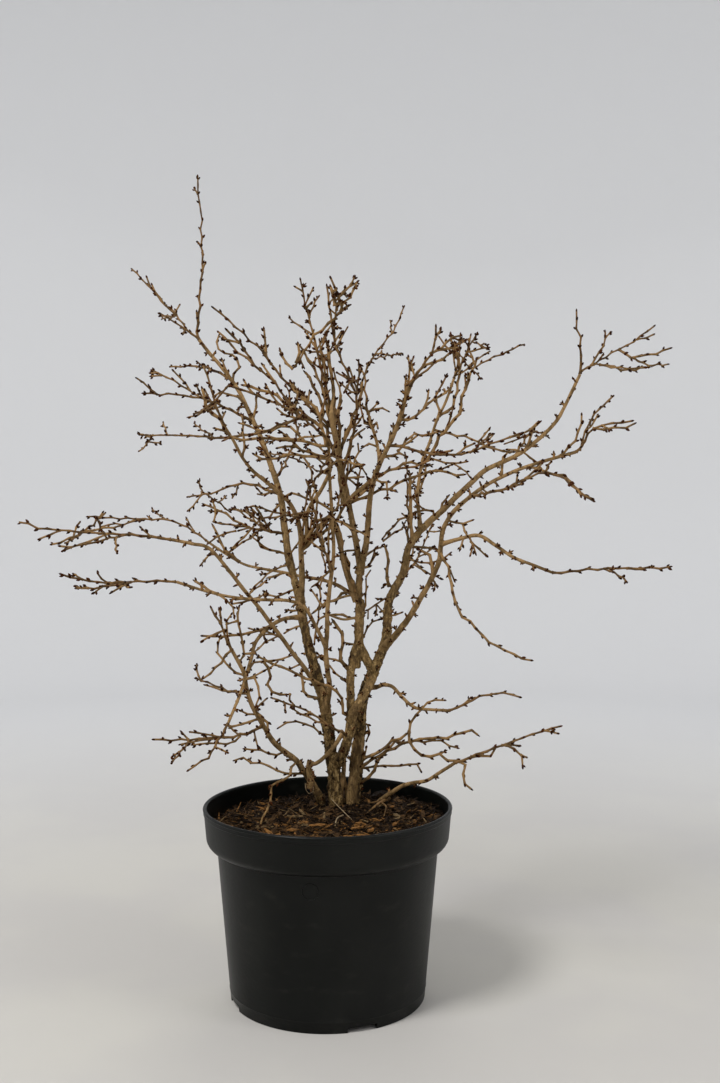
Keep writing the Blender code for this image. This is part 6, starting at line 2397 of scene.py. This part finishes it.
# %% [markdown]
# The plastic is nearly black, with a touch of green, and half glossy, so that it takes soft highlights from the
# sides. Broad, upright, lighter patches are painted highlight streaks; the roughness varies in soft patches, and a
# faint greyer layer is dust from handling.

# %% Finish the pot
def pot_finish():
    material = surface(
        "pot_black", (0.0022, 0.0027, 0.0020),
        [
            # Painted highlight: broad patches, stretched upright and lighter than the black, stand in for soft
            # highlight streaks
            Layer((0.007, 0.0074, 0.0062), 9, 0.4, 0.7, (1, 1, 0.6), strength=0.8),
            # Faint greyer dust and scuffs from handling
            Layer((0.022, 0.021, 0.017), 34, 0.56, 0.8, (1, 1, 2.2), detail=8, strength=0.35),
        ],
        (0.34, 0.48), Bumps(0.00008, 160, (1, 1, 3), 6), specular=0.16,
    )
    return material


pot_black = pot_finish()
for piece in (pot, ring):
    piece.data.materials.clear()
    piece.data.materials.append(pot_black)
    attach(piece, "root")
    total += triangles(piece)
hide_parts("pot")
print("pot finished")

# %% [markdown]
# ## The bed under the mulch
# The pot is full of dark, moist soil, and the shredded bark lies on it. The bed is turned from the inside of the pot
# and has a bumpy top, a little higher at the right, where the bark has been pushed up, and lower at the back.

# %% Turn the bed
MULCH_TOP_RADIUS = 0.085
MULCH_EDGE = 0.191
MULCH_BULGE = 0.6
BED_STEPS = 120
BED_SINK = 0.004
BED_ROUGHNESS = 0.0022
BANKS = ((math.radians(30), 0.004), (math.radians(120), -0.0045))
bed_radius = COLLAR_FOOT_RADIUS - WALL - GAP


def mulch_height(x, y):
    """The height of the mulch's surface at a place: the frame's dome, banked at the right and sunk at the back."""
    radius = math.hypot(x, y)
    radii = [0, MULCH_TOP_RADIUS, (COLLAR_FOOT_RADIUS + MULCH_TOP_RADIUS) / 2, bed_radius]
    heights = [MULCH_TOP, MULCH_TOP, MULCH_EDGE + MULCH_BULGE * (MULCH_TOP - MULCH_EDGE), MULCH_EDGE]
    height = float(np.interp(radius, radii, heights))
    outward = min(1, max(0, (radius - 0.07) / 0.05))
    for turn, rise in BANKS:
        height += rise * outward * max(0, math.cos(math.atan2(y, x) - turn))
    return height


below = inner_profile(GAP, MULCH_EDGE - BED_SINK, bed_radius)
rings = [(bed_radius * share, MULCH_EDGE - BED_SINK) for share in np.linspace(0.985, 0, 28)]
bm = spun(below + rings, BED_STEPS)
for vert in bm.verts:
    if vert.co.z > MULCH_EDGE - BED_SINK - 1e-5 and vert.co.xy.length < bed_radius * 0.99:
        rough = BED_ROUGHNESS * noise.noise(vert.co * 160)
        vert.co.z = mulch_height(*vert.co.xy) - BED_SINK + rough
bed = linked("mulch_bed", bm)
bed.data.shade_smooth()
print("bed:", triangles(bed), "triangles")

# %% [markdown]
# ## Shredded bark
# Shredded conifer bark is a mix: flat flakes with ragged ends, stringy slivers, and crumbs. A flake starts as a
# block cut across into short lengths, each squeezed and moved at random, and a dozen such flakes are enough
# to look like thousands once they are turned and sized.

# %% Shape a dozen flakes
FLAKE_KINDS = 12
FLAKE_CUTS = 4
flake_luck = random.Random(21)


def flake_template():
    """A ragged flake, one unit long, wide and thick: a block cut across, tapered, bent and splintered."""
    bm = bmesh.new()
    bmesh.ops.create_cube(bm, size=1)
    long_edges = [edge for edge in bm.edges if abs((edge.verts[0].co - edge.verts[1].co).x) > 0.5]
    bmesh.ops.subdivide_edges(bm, edges=long_edges, cuts=FLAKE_CUTS, use_grid_fill=True)
    bend = flake_luck.uniform(-0.7, 0.7)
    lift = flake_luck.uniform(-0.9, 0.9)
    for vert in bm.verts:
        end = abs(vert.co.x) * 2
        narrow = 1 - 0.65 * end**2 * flake_luck.uniform(0.5, 1.2)
        x = vert.co.x + (flake_luck.uniform(-0.16, 0.16) if end > 0.9 else flake_luck.uniform(-0.04, 0.04))
        y = vert.co.y * narrow * flake_luck.uniform(0.7, 1.25) + bend * (x * x - 0.1)
        z = vert.co.z * flake_luck.uniform(0.55, 1.3) * (1 - 0.4 * end) + lift * (x * x - 0.1)
        vert.co = (x, y, z)
    return patch_of(bm)


FLAKES = [flake_template() for _ in range(FLAKE_KINDS)]
print("flakes:", len(FLAKES), "of", int((FLAKES[0].counts - 2).sum()), "triangles")

# %% [markdown]
# The flakes come in four plain colours: fresh orange-brown at the front and left, red-brown everywhere, dark wet
# ones, most of all at the back, and a few pale ones. They lie nearly flat, some tipped up by what is under them,
# and those at the wall are pushed inside it.

# %% Scatter the bark
BARK_KINDS = {
    "dark": (0.016, 0.0085, 0.0040),
    "red": (0.075, 0.040, 0.016),
    "orange": (0.240, 0.112, 0.032),
    "pale": (0.190, 0.125, 0.058),
}
SIZES = {
    "crumbs": (1000, (0.0020, 0.0045), (0.0014, 0.003), (0.0008, 0.0016)),
    "flakes": (2000, (0.007, 0.019), (0.0022, 0.0058), (0.0008, 0.0019)),
    "slivers": (2000, (0.010, 0.026), (0.0008, 0.0020), (0.0006, 0.0011)),
}
LARGE_FLAKES = [
    ("orange", (-0.9, -5.6, 20.3), 5, (17, 5, 2.2)),
    ("orange", (-3.5, -7.2, 20.2), -10, (12, 4.2, 2.2)),
    ("orange", (3.2, -6.8, 20.3), 30, (13, 4.2, 2.2)),
    ("orange", (3.6, -5.0, 20.3), -20, (10, 3.6, 2)),
    ("orange", (4.7, -7.3, 20.2), 60, (12, 5, 2.5)),
    ("orange", (7.3, -4.8, 20.2), 70, (11, 3.6, 2)),
    ("orange", (3.9, -8.6, 20.0), -8, (18, 3.4, 2)),
    ("pale", (-3.6, -2.0, 20.3), -5, (15, 4, 2)),
    ("pale", (7.6, -1.5, 20.3), -55, (14, 4, 2)),
    ("dark", (6.2, 8.0, 20.1), 10, (24, 17, 9)),
]
WALL_CLEARANCE = 0.0008
scatter = np.random.default_rng(5)


def kind_at(x, y, luck):
    """Which colour a flake has: brighter at the front and left, darker at the back and right."""
    bright = min(1, max(0, 0.35 - 4.5 * y - 2.0 * x))
    shares = {"pale": 0.02 + 0.03 * bright, "orange": 0.02 + 0.17 * bright, "red": 0.22 + 0.3 * bright}
    for kind, share in shares.items():
        if luck < share:
            return kind
        luck -= share
    return "dark"


def inner_wall(height):
    """The inner radius of the collar at a height."""
    top = POT_HEIGHT - 0.004
    share = (height - MULCH_EDGE) / (top - MULCH_EDGE)
    return bed_radius + max(0, share) * (RIM_RADIUS - WALL - 0.0022 - bed_radius)


def one_flake(lengths, widths, heights, layer):
    """The place, turn and size of one flake. Later layers lie a little higher."""
    spread = math.sqrt(scatter.random()) * (bed_radius - 0.002)
    around = scatter.random() * math.tau
    x, y = spread * math.cos(around), spread * math.sin(around)
    size = [scatter.uniform(*lengths), scatter.uniform(*widths), scatter.uniform(*heights)]
    tip = scatter.normal(0, 0.26)
    roll = scatter.normal(0, 0.5)
    spin = scatter.random() * math.tau
    turn = Matrix.Rotation(spin, 3, "Z") @ Matrix.Rotation(tip, 3, "Y") @ Matrix.Rotation(roll, 3, "X")
    z = mulch_height(x, y) - 0.0024 + layer * 0.0036 + abs(math.sin(tip)) * size[0] * 0.15
    return kind_at(x, y, scatter.random()), (x, y, z), turn, size


chips = {kind: [] for kind in BARK_KINDS}
for count, lengths, widths, heights in SIZES.values():
    for number in range(count):
        kind, place, turn, size = one_flake(lengths, widths, heights, number / count)
        points = laid_out(FLAKES[number % FLAKE_KINDS], [place], [turn], [size]).points
        reach = np.hypot(points[:, 0], points[:, 1])
        over = (reach - [inner_wall(height) - WALL_CLEARANCE for height in points[:, 2]]).max()
        if over > 0:
            points[:, :2] -= np.array(place[:2]) / math.hypot(*place[:2]) * over
        source = FLAKES[number % FLAKE_KINDS]
        chips[kind].append(Patch(points, source.corners, source.counts))
for kind, place, turn, size in LARGE_FLAKES:
    spin = Matrix.Rotation(math.radians(turn), 3, "Z")
    flake = FLAKES[len(chips[kind]) % FLAKE_KINDS]
    points = laid_out(flake, [metres(place)], [spin], [[side / 1000 for side in size]]).points
    chips[kind].append(Patch(points, flake.corners, flake.counts))
print("bark:", {kind: len(found) for kind, found in chips.items()})

# %% [markdown]
# Bark is fibrous, so each finish has streaks that are squeezed along one axis, and crumbly bumps. The pieces lie at
# all angles, and their own facets do the rest: they stay flat-shaded, as torn bark looks.

# %% Finish the mulch
def bark_finish(kind, colour):
    return surface(
        "mulch_" + kind, colour,
        [
            Layer(tuple(value * 0.45 for value in colour), 240, 0.42, 0.62, (1, 1, 2)),
            Layer(tuple(min(1, value * 1.7) for value in colour), 420, 0.58, 0.75, (1, 2, 1), strength=0.7),
        ],
        (0.8, 0.95), Bumps(0.0004, 900), specular=0.1,
    )


for kind, colour in BARK_KINDS.items():
    piece = laid_together("bark_" + kind, chips[kind], [bark_finish(kind, colour)])
    piece.data.shade_flat()
    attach(piece, "root")
    total += triangles(piece)
    print(piece.name, triangles(piece), "triangles")
bed.data.materials.append(surface(
    "wet_soil", (0.016, 0.009, 0.005), [Layer((0.032, 0.017, 0.009), 300)], (0.8, 0.95), Bumps(0.0005, 500), 0.1,
))
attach(bed, "root")
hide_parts("mulch")
total += triangles(bed)

# %% [markdown]
# ## Straw and fallen twigs
# A pale straw and a hooked twig lie on the mulch, and a short snag of a lost stem stands in it. They are short
# tubes with the same rings as the twigs.

# %% Lay the litter
LITTER = {
    "pale_straw": ([(0.26, 3.5, 20.9), (1.47, -0.66, 20.75), (2.67, -4.5, 20.6)], 0.0005, 0.0004),
    "hooked_twig": ([(1.72, -2.7, 20.6), (1.12, -5.2, 20.9), (0.92, -6.4, 20.4)], 0.0008, 0.0005),
    "snag": ([(4.48, 2.7, 20.6), (5.39, 2.75, 20.7), (6.08, 3.3, 20.9)], 0.0009, 0.0009),
    "root_left": ([(6.9, 5.3, 20.5), (6.32, 3.8, 20.6), (5.6, 1.8, 20.7), (4.35, -0.55, 20.3)], 0.0024, 0.0007),
    "root_right": ([(6.0, 2.7, 20.6), (6.47, 0.4, 20.75), (6.2, -1.85, 20.3)], 0.0013, 0.0007),
    "curled_shred": (
        [(-2.6, 1.7, 23.1), (-2.5, 1.7, 22.3), (-2.2, 1.7, 21.9), (-1.7, 1.7, 22.1), (-1.7, 1.7, 22.7)],
        0.0004, 0.0003,
    ),
}
straw_pale = surface("straw_pale", (0.34, 0.25, 0.135), [Layer((0.22, 0.15, 0.075), 200)], (0.6, 0.8), Bumps(0.0001, 700))
for name, (way, first, last) in LITTER.items():
    points = smooth_way([metres(place) for place in way], 0.004)
    radii = np.linspace(first, last, len(points))
    bm = bmesh.new()
    rings_along(bm, points, radii, 8)
    piece = linked(name, bm)
    piece.data.shade_smooth()
    piece.data.materials.append(grey_tan if name.startswith(("snag", "root")) else straw_pale)
    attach(piece, "root")
    total += triangles(piece)
print("litter:", ", ".join(LITTER))

# %% [markdown]
# ## Finish
# The dressed plant must be as large as the frame and no larger. At the end the triangles of all its parts are counted.

# %% Count the triangles
print("triangles in all:", total)
